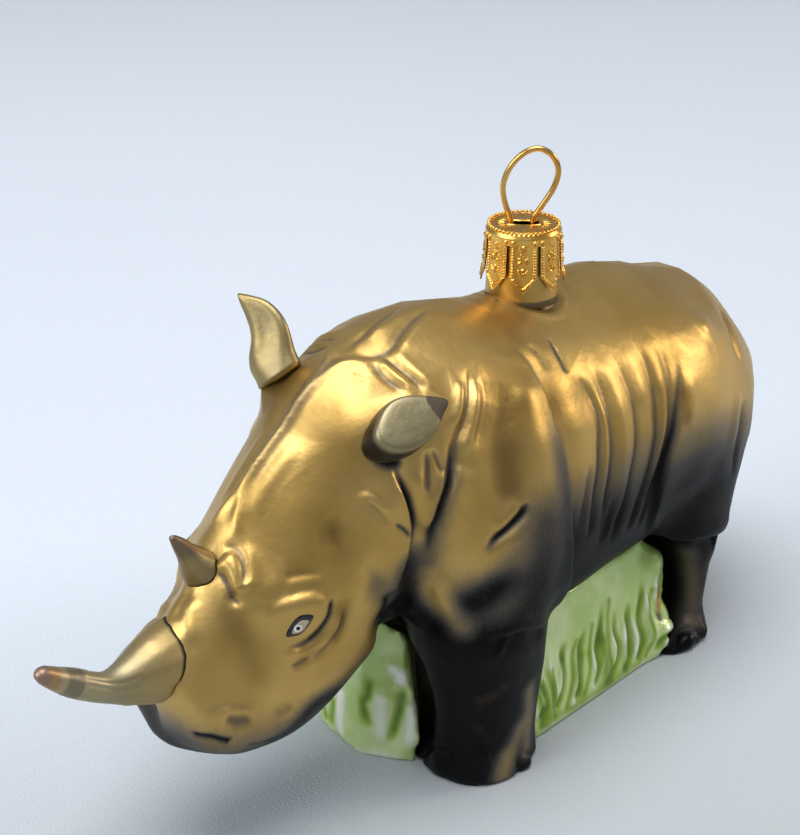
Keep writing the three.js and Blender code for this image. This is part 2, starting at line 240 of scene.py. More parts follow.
# ---- Glass animal ----
# Head, neck, trunk, tail, legs and the open neck under the cap are blown as one bubble of glass in a
# mould, so one skin stands for them all. The mould presses its muscles, folds and ribs.
FLESH = [
    "head", "neck", "trunk", "tail", "leg_front_left", "leg_front_right", "leg_rear_left",
    "leg_rear_right", "glass_neck",
]
SPREAD = 0.35 * MM  # closes the thin cuts between the parts before they are fused
FUSE = 0.68 * MM  # edge of the fused skin's faces, halved once it is smooth
ROUNDS = 26  # of smoothing, enough to melt the flat facets of the parts
RUMP_ROUNDS = 80  # more of it on the round rump
RUMP_FROM, RUMP_OVER = 18 * MM, 50 * MM  # where the rump begins, along the body and up
RUMP_RUN, RUMP_RISE = 8 * MM, 5 * MM  # how far it takes to come in, along and up
WELD = 1e-6  # points closer than this are one
KEPT_FACES = 190000  # left in the finished skin, dense only in its folds


def choose(piece):
    bpy.ops.object.select_all(action="DESELECT")
    piece.select_set(True)
    bpy.context.view_layer.objects.active = piece


def modify(piece, kind, **settings):
    """Adds a modifier and applies it."""
    choose(piece)
    modifier = piece.modifiers.new(kind.lower(), kind)
    for name, value in settings.items():
        setattr(modifier, name, value)
    bpy.ops.object.modifier_apply(modifier=modifier.name)


def edit(piece, **steps):
    """Runs these mesh operators, with their settings, over the whole of a piece."""
    choose(piece)
    bpy.ops.object.mode_set(mode="EDIT")
    bpy.ops.mesh.select_all(action="SELECT")
    for name, settings in steps.items():
        getattr(bpy.ops.mesh, name)(**settings)
    bpy.ops.object.mode_set(mode="OBJECT")


def joined(pieces):
    bpy.ops.object.select_all(action="DESELECT")
    for piece in pieces:
        piece.select_set(True)
    bpy.context.view_layer.objects.active = pieces[0]
    bpy.ops.object.join()
    return bpy.context.object


def fused(name, nodes, spread=0):
    """Copies of these parts, with the cuts between them closed, joined in one object."""
    copies = []
    for node in nodes:
        piece = bpy.data.objects.new(name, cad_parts[node].data.copy())
        bpy.context.scene.collection.objects.link(piece)
        edit(piece, remove_doubles={"threshold": WELD})
        if spread:
            modify(piece, "DISPLACE", strength=spread, mid_level=0.0)
        copies.append(piece)
    return joined(copies)


def finer(piece):
    """Splits every face into four, and smooths them."""
    modify(piece, "SUBSURF", levels=1, render_levels=1)
    choose(piece)
    bpy.ops.object.shade_smooth()


def read(piece, field="co"):
    flat = np.empty(len(piece.data.vertices) * 3, np.float32)
    piece.data.vertices.foreach_get(field, flat)
    return flat.reshape(-1, 3).astype(float)


def write(piece, points):
    piece.data.vertices.foreach_set("co", points.astype(np.float32).ravel())
    piece.data.update()


def paint(piece, name, values):
    """Keeps a number at each point of a piece, for its finish to read."""
    layer = piece.data.attributes.new(name, "FLOAT", "POINT")
    layer.data.foreach_set("value", values.astype(np.float32))


def smooth(piece, points, rounds):
    """Moves each point halfway to the middle of its neighbours, this many times."""
    ends = np.empty(len(piece.data.edges) * 2, np.int32)
    piece.data.edges.foreach_get("vertices", ends)
    one, other = ends.reshape(-1, 2).T
    size = len(points)
    count = np.bincount(ends, minlength=size)
    for _ in range(rounds):
        sums = [
            np.bincount(one, points[other, i], size) + np.bincount(other, points[one, i], size)
            for i in range(3)
        ]
        points = (points + np.array(sums).T / count[:, None]) / 2
    return points


def melt(piece, rounds):
    """Smooths a piece without making it thinner: what smoothing takes off is smoothed and put back."""
    points = read(piece)
    write(piece, smooth(piece, 2 * points - smooth(piece, points, rounds), rounds))


def soft(value, low, high):
    """Rises smoothly from 0 to 1 as the value goes from low to high."""
    share = np.clip((value - low) / (high - low), 0, 1)
    return share * share * (3 - 2 * share)


def bell(off, width):
    """1 in the middle, and next to nothing two widths away from it."""
    return np.exp(-(off / width) ** 2)


skin = fused("glass_animal", FLESH, SPREAD)
modify(skin, "REMESH", mode="VOXEL", voxel_size=FUSE)
melt(skin, ROUNDS)
facets = read(skin)
melt(skin, RUMP_ROUNDS)
share = soft(facets[:, 1], RUMP_FROM, RUMP_FROM + RUMP_RUN)
share *= soft(facets[:, 2], RUMP_OVER, RUMP_OVER + RUMP_RISE)
write(skin, facets + (read(skin) - facets) * share[:, None])
finer(skin)

# The rear legs are slender under the thigh, and the glass neck under the cap is round. Pairs say from
# where to where a change comes in. Sizes are in millimetres.
HOCK_AT, HOCK_SLIM, HEEL_SLIM = 28.0, 0.37, 1.4
UNDER_THIGH, OVER_FOOT, BEHIND_BELLY = (22, 17.5), (0.5, 6), (6, 15)
SHANK_INSIDE, SHANK_WIDE, SHANK_SLIM, SHANK_ALONG = 12, 9, 0.45, (18, 24)
NECK_RADIUS, NECK_FOOT, NECK_REACH, NECK_WALL = 4.85, 60.5, 6.5, (0.75, 0.45)
x, y, z = read(skin).T / MM
slim = HOCK_SLIM * soft(z, *UNDER_THIGH) * soft(z, *OVER_FOOT) * soft(y, *BEHIND_BELLY)
y += (HOCK_AT - y) * slim * np.where(y < HOCK_AT, 1, HEEL_SLIM)
outside = np.clip(np.abs(x) - SHANK_INSIDE, 0, SHANK_WIDE)
x -= np.sign(x) * slim * SHANK_SLIM * outside * soft(y, *SHANK_ALONG)
wide = np.hypot(x, y) + 1e-9
upright = np.abs(read(skin, "normal")[:, 2])
pull = soft(upright, *NECK_WALL) * soft(z, NECK_FOOT, NECK_FOOT + 1) * (wide < NECK_REACH)
scale = 1 + (NECK_RADIUS / wide - 1) * pull
write(skin, np.array((x * scale, y * scale, np.maximum(z, 0))).T * MM)


CLEAR_SIDE, CLEAR_RUMP, CLEAR_BACK = 60, 90, 120  # clear of the body, in millimetres


def seen(px, py):
    """Where the camera looks through a point of its picture, in pixels."""
    ray = Vector((px - PICTURE[0] / 2, PICTURE[1] / 2 - py, -FOCAL))
    return camera.location, (camera.matrix_world.to_3x3() @ ray).normalized()


def beside(y, z):
    """A line of sight on to the animal's left side, in millimetres."""
    return Vector((CLEAR_SIDE, y, z)) * MM, Vector((-1, 0, 0))


def behind(x, z):
    """A line of sight on to its rump, in millimetres."""
    return Vector((x, CLEAR_RUMP, z)) * MM, Vector((0, -1, 0))


def above(x, y):
    """A line of sight on to its back, in millimetres."""
    return Vector((x, y, CLEAR_BACK)) * MM, Vector((0, 0, -1))


REACH = 400  # how far lines of sight are followed, in millimetres
STEP = 0.3 * MM  # least spacing of the points along a stroke
FOLD_STEP = 0.9  # along a fold they are spaced as along a stroke of this width
SPAN = 2.6  # how many widths a stroke reaches to either side
SOOT_SPAN = 0.62  # how wide its soot is, in its widths
BATCH = 8192  # points measured at a time


def curve(a, b, c, d, t):
    """Points between b and c, on the smooth line that runs through all four."""
    return b + 0.5 * t * (c - a + t * (2 * a - 5 * b + 4 * c - d + t * (3 * (b - c) + d - a)))


def spline(points, step):
    """Points a step apart on a smooth line through these."""
    points = np.array(points)
    if len(points) < 2:
        return points
    ends = np.vstack([2 * points[0] - points[1], points, 2 * points[-1] - points[-2]])
    line = []
    for a, b, c, d in zip(ends, ends[1:], ends[2:], ends[3:]):
        count = max(2, int(np.linalg.norm(c - b) / step))
        line.append(curve(a, b, c, d, np.arange(count)[:, None] / count))
    return np.vstack([*line, points[-1:]])


class Mould:
    """Presses strokes into a smooth piece. All are measured on its surface as it was before them."""

    def __init__(self, piece, both):
        self.piece = piece
        self.both = both
        self.tree = BVHTree.FromObject(piece, bpy.context.evaluated_depsgraph_get())
        self.points = read(piece)
        self.normals = read(piece, "normal")
        self.lift = np.zeros(len(self.points))
        self.paints = {}

    def land(self, start, way):
        hit = self.tree.ray_cast(start, way)[0]
        if hit is None:
            tries = [self.tree.find_nearest(start + way * d * MM) for d in range(REACH)]
            hit = min(tries, key=lambda found: found[3])[0]
        return np.array(hit)

    def lines(self, view, marks, step, both):
        """The stroke's points, and at each of them the way to its right, on one side or on both."""
        line = spline([self.land(*view(*mark)) for mark in marks], step)
        found = [self.tree.find_nearest(Vector(p)) for p in line]
        line = np.array([f[0] for f in found])
        normals = np.array([f[1] for f in found])
        onward = np.gradient(line, axis=0) if len(line) > 1 else np.array([[0, 0, 1.0]])
        right = np.cross(onward, normals)
        right /= np.linalg.norm(right, axis=1)[:, None] + 1e-12
        made = [(line, right)]
        if both:
            flip = np.array([-1, 1, 1])
            other = np.array([self.tree.find_nearest(Vector(p))[0] for p in line * flip])
            made.append((other, right * flip))
        return made

    def near(self, line, right, reach, taper):
        """Points within reach, their signed distance to the line and how full the stroke is there."""
        low, high = line.min(0) - reach, line.max(0) + reach
        chosen = np.where(((self.points > low) & (self.points < high)).all(1))[0]
        lengths = (line ** 2).sum(1)
        parts = np.array_split(chosen, 1 + len(chosen) // BATCH)
        nearest = np.concatenate([(lengths - 2 * self.points[p] @ line.T).argmin(1) for p in parts])
        apart = self.points[chosen] - line[nearest]
        last = len(line) - 1
        at = np.zeros(len(chosen))
        if last:
            onward = np.gradient(line, axis=0)[nearest]
            past = (apart * onward).sum(1) / (onward ** 2).sum(1)
            past = np.clip(past, np.where(nearest == 0, 0, -0.5), np.where(nearest == last, 0, 0.5))
            apart -= past[:, None] * onward
            at = (nearest + past) / last
        off = np.linalg.norm(apart, axis=1)
        close = off < reach
        chosen, nearest, apart, off, at = (v[close] for v in (chosen, nearest, apart, off, at))
        across = (apart * right[nearest]).sum(1)
        full = np.ones(len(chosen))
        if last:
            for share, run in ((at, taper[0]), (1 - at, taper[1])):
                if run:
                    full *= np.sin(np.pi / 2 * np.clip(share / run, 0, 1))
        return chosen, np.where(across < 0, -off, off), full

    def strokes(self, view, marks, width, taper, both, fine=None):
        both = self.both if both is None else both
        step = max(STEP, (fine or width) * MM / 3)
        for line, right in self.lines(view, marks, step, both):
            yield self.near(line, right, SPAN * width * MM, taper)

    def press(self, view, marks, width, height, soot_and_shade=0.0, taper=(0.3, 0.3), both=None):
        """A ridge, or a groove where its height is negative, with soot and painted shade along it."""
        for chosen, off, full in self.strokes(view, marks, width, taper, both):
            self.lift[chosen] += height * MM * bell(off, width * MM) * full
            if soot_and_shade:
                self.blacken(chosen, soot_and_shade * bell(off, SOOT_SPAN * width * MM) * full)

    def fold(self, view, marks, rise, wide, drop, narrow, soot_and_shade, taper, edge):
        """A step: the skin stands proud on the right of the line as drawn, and dips on its left."""
        for chosen, off, full in self.strokes(view, marks, max(wide, narrow), taper, None, FOLD_STEP):
            up = np.clip(off / (2 * edge * MM) + 0.5, 0, 1)
            up = up * up * (3 - 2 * up)
            proud = rise * bell(np.maximum(off, 0), wide * MM)
            sunk = drop * bell(np.minimum(off, 0), narrow * MM)
            self.lift[chosen] += (up * proud - (1 - up) * sunk) * full * MM
            line = bell(off + edge * MM, (0.3 + 0.6 * edge) * MM)  # at the foot of the step
            self.blacken(chosen, soot_and_shade * line * full)

    def smoke(self, view, marks, width, amount, taper=(0, 0), both=None, paint="soot_and_shade"):
        """Soft paint from a brush, or bare lacquer where its amount is negative."""
        for chosen, off, full in self.strokes(view, marks, width, taper, both):
            self.blacken(chosen, amount * bell(off, width * MM) * full, paint)

    def around(self, other, width, amount):
        """Soot in the corner where this piece comes out of the other one."""
        tree = BVHTree.FromObject(other, bpy.context.evaluated_depsgraph_get())
        off = np.array([tree.find_nearest(Vector(p))[3] for p in self.points])
        self.blacken(np.arange(len(off)), amount * bell(off, width * MM))

    def blacken(self, chosen, amount, paint="soot_and_shade"):
        layer = self.paints.setdefault(paint, np.zeros(len(self.points)))
        bare = layer[chosen]
        layer[chosen] = np.where(amount > 0, 1 - (1 - bare) * (1 - amount), bare * (1 + amount))

    def done(self):
        pressed = self.points + self.normals * self.lift[:, None]
        pressed[:, 2] = np.maximum(pressed[:, 2], np.minimum(self.points[:, 2], 0))  # it stands flat
        write(self.piece, pressed)
        for name, layer in self.paints.items():
            paint(self.piece, name, layer)


# Muscles and hollows, pressed first: marks in the camera's picture, width and height in millimetres.
MUSCLES = {
    "cheek": ([(388, 520), (378, 550), (352, 590)], 5.0, 0.9),
    "temple": ([(372, 500), (356, 470)], 5.0, 0.3),
    "hollow of the temple": ([(335, 532)], 2.0, -0.9),
    "hollow of the face": ([(300, 440), (278, 490), (262, 540)], 4.5, -0.7),
    "brow": ([(266, 606), (286, 598), (308, 596)], 2.6, 0.7),
    "eye socket": ([(298, 610), (316, 606)], 2.8, 0.8),
    "side of the rump": ([(757, 384), (756, 402)], 3.0, -0.7),
    "side of the nose": ([(255, 640), (236, 680)], 4.0, -0.5),
    "upper lip": ([(212, 728), (245, 728)], 3.5, 0.5),
    "corner of the throat": ([(392, 618), (388, 630), (383, 642)], 2.0, -1.6),
    "corner of the mouth": ([(272, 728), (285, 722)], 2.5, 0.3),
    "crown": ([(356, 395), (340, 420)], 4.0, 0.5),
    "root of the ear": ([(358, 424), (370, 432)], 1.8, 1.5),
    "before the shoulder": ([(468, 440), (450, 520), (425, 590)], 4.0, -0.9),
    "shoulder blade": ([(524, 400), (538, 450), (546, 520), (542, 575)], 3.2, 0.9),
    "hollow of the shoulder": ([(504, 400), (499, 440), (502, 490)], 2.6, -0.9),
    "point of the shoulder": ([(470, 560), (500, 600)], 5.0, 0.5),
    "lobe over the leg": ([(538, 606), (515, 616)], 3.5, 0.9),
    "behind the shoulder": ([(594, 400), (606, 480), (604, 545)], 4.5, -0.9),
    "beside the spine": ([(500, 335), (560, 320)], 5.0, -0.5),
    "hip": ([(706, 328)], 3.6, 0.4),
    "before the hip": ([(670, 322)], 3.5, 0.2),
    "loin": ([(640, 300), (690, 305)], 4.0, -0.4),
    "thigh": ([(708, 400), (700, 470)], 6.0, 0.7),
    "flank": ([(655, 420), (648, 480)], 3.5, -0.7),
    "hock": ([(668, 560), (670, 590), (668, 625)], 2.6, -0.4),
    "shin": ([(700, 655), (716, 600), (712, 570)], 3.0, -0.7),
    "hind foot": ([(704, 630)], 1.8, 0.9),
    "wrist": ([(412, 668), (419, 700), (418, 730)], 3.2, -2.2),
    "forearm": ([(440, 655), (490, 650), (525, 640)], 3.5, 0.4),
}
# On the right of the muzzle only.
FAR_MUZZLE = {
    "under the horn": ([(140, 700), (143, 709)], 2.6, -1.9),
    "lip": ([(158, 733), (168, 743), (178, 748)], 2.8, 0.8),
    "chin": ([(185, 755), (200, 758), (214, 758)], 2.4, -0.75),
    "side of the nose": ([(135, 632), (146, 620), (157, 602), (167, 586), (171, 571)], 3.8, -1.6),
    "over the horn": ([(152, 603), (160, 590)], 2.2, -0.6),
}
# Along the back, from above, in millimetres across and along.
BACK = {
    "loins": ([(9, 14), (9, 22), (9, 30)], 5.0, -0.65),
    "before the rump": ([(4, 23), (4, 29)], 4.5, -0.35),
    "rump": ([(3, 37.5), (2.5, 42)], 5.5, 1.45),
    "spine": ([(0, 10), (0, 18)], 2.6, 0.25),
    "withers": ([(0, -16), (0, -22), (0, -30)], 2.6, 0.25),
}
mould = Mould(skin, both=True)
for table, view, both in ((MUSCLES, seen, True), (FAR_MUZZLE, seen, False), (BACK, above, True)):
    for marks, width, height in table.values():
        mould.press(view, marks, width, height, taper=(0, 0), both=both)
mould.done()

# Creases, pressed into the muscles: the same, with how black they are and the share of either end that
# thins out.
HEAD_CREASES = {
    "ridge down the face": ([(372, 361), (340, 365), (323, 378), (306, 396), (295, 413), (278, 438),
                             (256, 468), (245, 490), (240, 506), (236, 526), (236, 538)],
                            0.8, 0.45, 0, (0.1, 0.1)),
    "beside the ridge": ([(300, 440), (280, 465), (262, 490), (250, 520)], 1.3, 0.3),
    "behind the cheek": ([(393, 522), (402, 528), (408, 535)], 0.45, -0.35, 0.7),
    "temple fold": ([(360, 494), (378, 503), (391, 518)], 1.2, 0.2),
    "temple crease": ([(362, 500), (378, 510), (388, 524)], 0.6, -0.25, 0.25),
    "second temple crease": ([(352, 488), (372, 492), (388, 505)], 0.6, -0.2, 0.2),
    "over the brow": ([(283, 579), (296, 575), (311, 573), (322, 574)], 0.7, -0.25, 0.12),
    "upper lid": ([(264, 617), (276, 603), (290, 595), (305, 590), (319, 591), (330, 600)], 0.8, -0.4, 0.12),
    "lower lid": ([(332, 597), (333, 608), (330, 619), (321, 632), (310, 641), (299, 646), (285, 647)],
                  0.65, -0.65, 0.85, (0.15, 0.5)),
    "under the lid": ([(339, 611), (336, 626), (327, 643), (316, 652)], 0.6, 0.4),
    "bag of the eye": ([(344, 606), (346, 620), (341, 632), (330, 643), (319, 656), (309, 666)],
                       0.8, -0.45, 0.35),
    "wrinkle": ([(312, 656), (301, 663), (290, 668)], 0.55, -0.35, 0.45),
    "wrinkle's edge": ([(286, 655), (300, 652)], 0.6, 0.2),
    "before the brow": ([(262, 604), (275, 594), (290, 587)], 0.8, -0.3, 0.1),
    "corner of the jaw": ([(361, 576), (375, 574), (380, 590)], 1.8, -0.5, 0.15),
    "crown wrinkle": ([(351, 371), (362, 374), (372, 379)], 0.4, -0.15, 0.25),
    "lower crown wrinkle": ([(352, 378), (362, 380), (370, 384)], 0.4, -0.15, 0.2),
    "nostril": ([(226, 719), (238, 722), (252, 719)], 1.0, -0.6, 0.35),
    "rim of the nostril": ([(209, 715), (220, 711), (232, 710), (248, 711), (260, 718)], 0.9, 0.3),
    "over the nostril": ([(207, 712), (218, 707), (234, 706), (250, 707)], 0.7, -0.2, 0.15),
    "under the nostril": ([(236, 727), (252, 726), (262, 722)], 0.9, 0.3),
    "corner of the lips": ([(273, 716), (282, 710), (294, 705)], 0.9, -0.35, 0.1),
    "fold of the lips": ([(277, 720), (286, 714), (296, 709)], 0.8, 0.3),
    "mouth": ([(192, 734), (211, 738), (230, 742)], 0.75, -0.4, 1.0, (0.12, 0.02)),
    "lower lip": ([(246, 745), (258, 745), (278, 736)], 0.7, -0.3, 0.3),
}
PAD_CREASES = {
    "pad behind the small horn": ([(222, 556), (232, 567), (237, 582), (241, 594)], 1.5, 0.8, 0, (0.2, 0.2)),
    "outer groove": ([(222, 546), (236, 550), (242, 560), (244, 572), (243, 584), (241, 592)],
                     0.6, -0.4, 0.4),
    "inner groove": ([(216, 569), (223, 577), (229, 589), (234, 600), (244, 606)], 0.6, -0.6, 0.6),
    "outer ridge": ([(240, 545), (248, 558), (252, 575), (252, 588), (257, 598)], 1.2, 0.35),
    "over the large horn": ([(187, 586), (184, 598), (180, 610), (176, 621)], 1.0, -0.4, 0.1),
    "root of the large horn": ([(189, 598), (187, 618), (191, 645)], 1.2, 0.45),
}
NECK_CREASES = {
    "long fold": ([(451, 438), (453, 455), (450, 479), (441, 507), (434, 529), (427, 554)], 0.75, -1.0, 0.9,
                  (0.4, 0.35)),
    "before the long fold": ([(443, 470), (433, 505), (424, 535)], 1.3, 0.6),
    "behind the long fold": ([(463, 465), (453, 500), (444, 530)], 1.8, 0.6),
    "short fold": ([(427, 448), (429, 470), (427, 497)], 0.75, -0.6, 0.5),
    "second short fold": ([(433, 448), (438, 461), (441, 474)], 0.5, -0.4, 0.4),
    "between the folds": ([(418, 470), (420, 500), (419, 530)], 1.3, 0.5),
    "upper fold": ([(467, 366), (469, 385), (468, 404), (463, 424), (457, 444), (455, 470)], 0.7, -0.6, 0.4),
    "before the upper fold": ([(460, 380), (460, 405), (454, 428)], 0.8, 0.5),
    "behind the upper fold": ([(474, 380), (475, 405), (469, 434), (462, 455)], 1.1, 0.55),
    "second upper fold": ([(482, 372), (484, 395), (481, 425), (474, 450)], 0.7, -0.3, 0.15),
    "nape": ([(372, 361), (385, 378), (396, 386), (408, 392)], 0.7, -0.45, 0.5),
    "upper nape": ([(382, 354), (395, 365), (410, 377), (428, 391)], 0.7, -0.45, 0.5),
    "between the napes": ([(379, 360), (395, 374), (415, 391)], 0.8, 0.35),
    "over the nape": ([(396, 352), (412, 368), (436, 392)], 1.0, 0.3),
}
CREST_CREASES = {
    "far crest": ([(340, 353), (355, 342), (370, 327), (385, 315), (400, 306)], 1.0, -0.5, 0.4),
    "far crest's edge": ([(350, 351), (368, 337), (384, 323)], 0.9, 0.3),
    "crest": ([(352, 357), (375, 355), (392, 347), (402, 332), (417, 317), (434, 306)], 0.9, -0.5, 0.45),
    "near crest's edge": ([(386, 357), (400, 348), (411, 333), (426, 318), (442, 309)], 1.1, 0.4),
}
SHOULDER_CREASES = {
    "slash": ([(529, 503), (521, 517), (508, 530), (496, 541), (485, 553)], 0.8, -0.85, 1.0, (0.2, 0.35)),
    "over the slash": ([(519, 500), (508, 517), (494, 530)], 1.2, 0.4),
    "under the slash": ([(536, 515), (522, 535), (505, 550)], 1.2, 0.4),
    "slit": ([(546, 336), (558, 353), (568, 372)], 0.5, -0.35, 0.75, (0.35, 0.1)),
    "short slit": ([(529, 342), (541, 353), (550, 368)], 0.6, -0.25, 0.35),
    "crease of the leg": ([(512, 637), (493, 662)], 0.5, 0.3),
    "arc of the chest": ([(434, 579), (442, 600), (457, 620), (482, 632)], 1.6, 0.5),
}
# Grooves between the ribs, all pressed alike, with a low rib between one and the next.
RIB_GROOVES = [
    [(567, 372), (583, 386), (594, 405), (600, 430), (600, 460), (596, 500), (591, 540)],
    [(584, 357), (597, 380), (607, 410), (612, 440), (611, 470), (606, 505), (600, 545)],
    [(606, 350), (622, 374), (632, 398), (637, 424), (636, 454), (629, 488), (618, 520), (610, 543)],
    [(626, 334), (644, 360), (652, 385), (656, 412), (655, 444), (646, 481), (636, 508), (624, 536)],
    [(650, 336), (664, 362), (669, 387), (671, 412), (667, 441), (658, 474), (645, 510), (634, 534)],
]
RIB_GROOVE, RIB = (0.6, -0.45, 0.5, (0.5, 0.12)), (1.2, 0.25, 0, (0.4, 0.2))
RIB_MARKS = 6  # as many marks of each pair of grooves have a rib between them
HIP_CREASES = {
    "low groove": ([(592, 466), (590, 502), (586, 530)], 0.6, -0.4, 0.3),
    "second low groove": ([(614, 496), (609, 519), (604, 540)], 0.6, -0.4, 0.3),
    "under the hip": ([(668, 342), (690, 352), (712, 347)], 1.8, 0.25),
}
# Nails: their outline, their middle and how wide they are.
NAILS = {
    "outer": ([(519, 772), (519, 760), (526, 753), (534, 756)], (527, 764), 1.3),
    "middle": ([(468, 768), (470, 753), (480, 746), (491, 752), (497, 768)], (482, 760), 1.9),
    "inner": ([(421, 762), (428, 750), (440, 748), (450, 754), (453, 764)], (437, 758), 1.7),
    "hind": ([(674, 648), (678, 634), (690, 629), (702, 636), (703, 644)], (689, 642), 1.6),
}
NAIL_LINE, NAIL_RISE = (0.45, -0.45, 0.9, (0, 0)), 0.5
# On the left of the rump only.
RUMP_CREASES = {
    "behind the hip": ([(719, 306), (727, 322), (734, 342), (740, 366)], 1.0, -0.45, 0.15),
    "beside the tail": ([(744, 398), (742, 425), (737, 450), (733, 475)], 1.0, -0.5, 0.3),
    "before the tail": ([(738, 390), (735, 420), (730, 448)], 1.3, 0.35),
    "hip": ([(704, 318), (702, 332)], 1.8, 0.4),
    "under the hip": ([(688, 372), (690, 400), (686, 430)], 1.6, 0.3),
}
# Folds: one side stands proud and the other dips. Each has its marks, how far it rises and how wide
# that is, how far it dips and how wide that is, how black it is, the share of either end that thins out,
# and half the width of the step.
FOLDS = {
    "cheek": ([(390, 466), (399, 483), (406, 500), (410, 516), (411, 533), (408, 551), (402, 569),
               (395, 586), (384, 600)], 0.7, 5.0, 1.1, 1.8, 1.0, (0.25, 0.1), 0.4),
    "plate": ([(508, 347), (518, 352), (531, 364), (541, 380), (549, 400), (556, 424), (563, 441),
               (568, 459), (571, 482), (573, 507), (574, 532), (574, 559), (571, 583), (562, 608),
               (548, 624)], 0.5, 4.0, 2.0, 4.5, 0.6, (0.3, 0.08), 1.0),
    "leg": ([(545, 626), (526, 630), (507, 636), (484, 640)], 0.4, 3.0, 1.0, 3.0, 0.2, (0.3, 0.3), 0.6),
    "thigh": ([(648, 533), (651, 518), (659, 488), (667, 460), (675, 432), (679, 403), (680, 377),
               (676, 355)], 0.5, 4.5, 0.4, 1.5, 0.9, (0.06, 0.5), 0.45),
    "hock": ([(724, 531), (700, 538), (675, 539), (652, 534)], 0.6, 3.5, 1.5, 2.4, 0.4, (0.06, 0.06), 0.5),
}
mould = Mould(skin, both=True)
for table in (HEAD_CREASES, NECK_CREASES, SHOULDER_CREASES, HIP_CREASES):
    for marks, *sizes in table.values():
        mould.press(seen, marks, *sizes)
for table in (PAD_CREASES, CREST_CREASES, RUMP_CREASES):
    for marks, *sizes in table.values():
        mould.press(seen, marks, *sizes, both=False)
for groove in RIB_GROOVES:
    mould.press(seen, groove, *RIB_GROOVE)
for one, other in zip(RIB_GROOVES, RIB_GROOVES[1:]):
    pairs = zip(one[:RIB_MARKS], other[:RIB_MARKS])
    mould.press(seen, [((a[0] + b[0]) / 2, (a[1] + b[1]) / 2) for a, b in pairs], *RIB)
for outline, centre, size in NAILS.values():
    mould.press(seen, outline, *NAIL_LINE)
    mould.press(seen, [centre], size, NAIL_RISE)
    mould.smoke(seen, [centre], size, 1.0, paint="nail")
for marks, *sizes in FOLDS.values():
    mould.fold(seen, marks, *sizes)

# Black from the airbrush, blown from below: where along the body, how high its upper edge is there and
# how deep that edge is, in millimetres. Over it lies a veil, thinner on the face.
EDGE = [
    (-75, 34, 22), (-63, 32, 20), (-58, 29, 13), (-52, 28.5, 9), (-44, 29.5, 7), (-40, 30, 8), (-36, 36, 9),
    (-33, 31, 6), (-28, 34, 8), (-22, 40, 13), (-18, 45, 17), (-14, 49, 18), (-7, 49, 18), (3, 49, 19),
    (20, 48, 18), (28, 45, 18), (36, 43, 19),
]
FACE_BLACK, BODY_MORE, BODY_FROM = 0.75, 0.22, (-42, -36)
VEIL, FACE_LESS, FACE_FROM = 0.18, 0.12, (-40, -46)
VEIL_TOP, VEIL_DEPTH = 57, 20
along, edge_height, edge_depth = np.array(EDGE).T
x, y, z = mould.points.T / MM
everywhere = np.arange(len(y))
below = np.interp(y, along, edge_height) - z
below /= np.interp(y, along, edge_depth)
mould.blacken(everywhere, (FACE_BLACK + BODY_MORE * soft(y, *BODY_FROM)) * soft(below, 0, 1))
veil = VEIL - FACE_LESS * soft(y, *FACE_FROM)
mould.blacken(everywhere, veil * np.clip((VEIL_TOP - z) / VEIL_DEPTH, 0, 1))
# Strokes of the brush, and places it left bare, some of them painted shadow, shade and highlights.
SPRAY = {
    "jaw": ([(240, 754), (262, 747), (290, 731), (337, 693), (361, 670), (378, 640)], 1.7, 0.75),
    "corner of the jaw": ([(396, 578), (386, 590), (376, 590), (364, 584)], 2.2, 0.35, (0, 0.5)),
    "edge of the jaw": ([(386, 598), (382, 616), (378, 634)], 1.0, 0.8),
    "throat": ([(410, 545), (407, 575), (404, 600)], 2.4, 0.8, (0.4, 0)),
    # Painted shadow behind the jaw.
    "behind the jaw": ([(394, 604), (404, 612), (418, 620), (428, 632)], 3.2, 0.97),
    "before the leg": ([(512, 577), (495, 590), (474, 603)], 3.0, 0.95),
    # Painted shade along the plate's edge, where it turns away.
    "along the plate": ([(540, 400), (558, 450), (566, 510), (566, 580)], 2.6, 0.55, (0.4, 0)),
    "lobe of the plate": ([(546, 525), (545, 560), (540, 605)], 4.5, 0.6),
    # Painted highlight: the lit rim of the plate on the chest is left bare.
    "painted highlight on the arc of the chest": ([(434, 579), (442, 603), (457, 624), (482, 634)], 1.8, -0.42, (0.2, 0.3)),
    "bare patch of the chest": ([(470, 560), (500, 560), (530, 575)], 2.5, -0.3, (0.2, 0.3)),
    "lips": ([(152, 712), (162, 735), (182, 748)], 4.0, 0.45),
    "long fold": ([(451, 440), (452, 470), (441, 507), (427, 560)], 1.8, 0.35, (0.3, 0)),
    # Painted shadow under the ear.
    "under the ear": ([(370, 447), (380, 459), (392, 463), (402, 457)], 1.0, 0.9, (0.2, 0.2)),
    # Painted shade on the far side of the face.
    "far side of the face": ([(330, 362), (300, 398), (272, 438), (248, 470)], 1.6, 0.2),
    # Painted shade in the hollow of the shoulder.
    "hollow of the shoulder": ([(521, 403), (506, 416), (498, 440), (500, 470), (508, 491)], 1.6, 0.15),
    # Painted highlight down the front shin, left bare.
    "front shin": ([(530, 690), (529, 720), (527, 748)], 1.8, -0.5),
    "bare foot": ([(506, 775), (512, 750), (520, 728)], 1.8, -0.5),
    "between the nails": ([(499, 776), (504, 757)], 1.6, -0.35),
    # Painted reflection down the hind shin, left bare.
    "hind shin": ([(688, 555), (692, 585), (692, 622)], 2.4, -0.42),
}
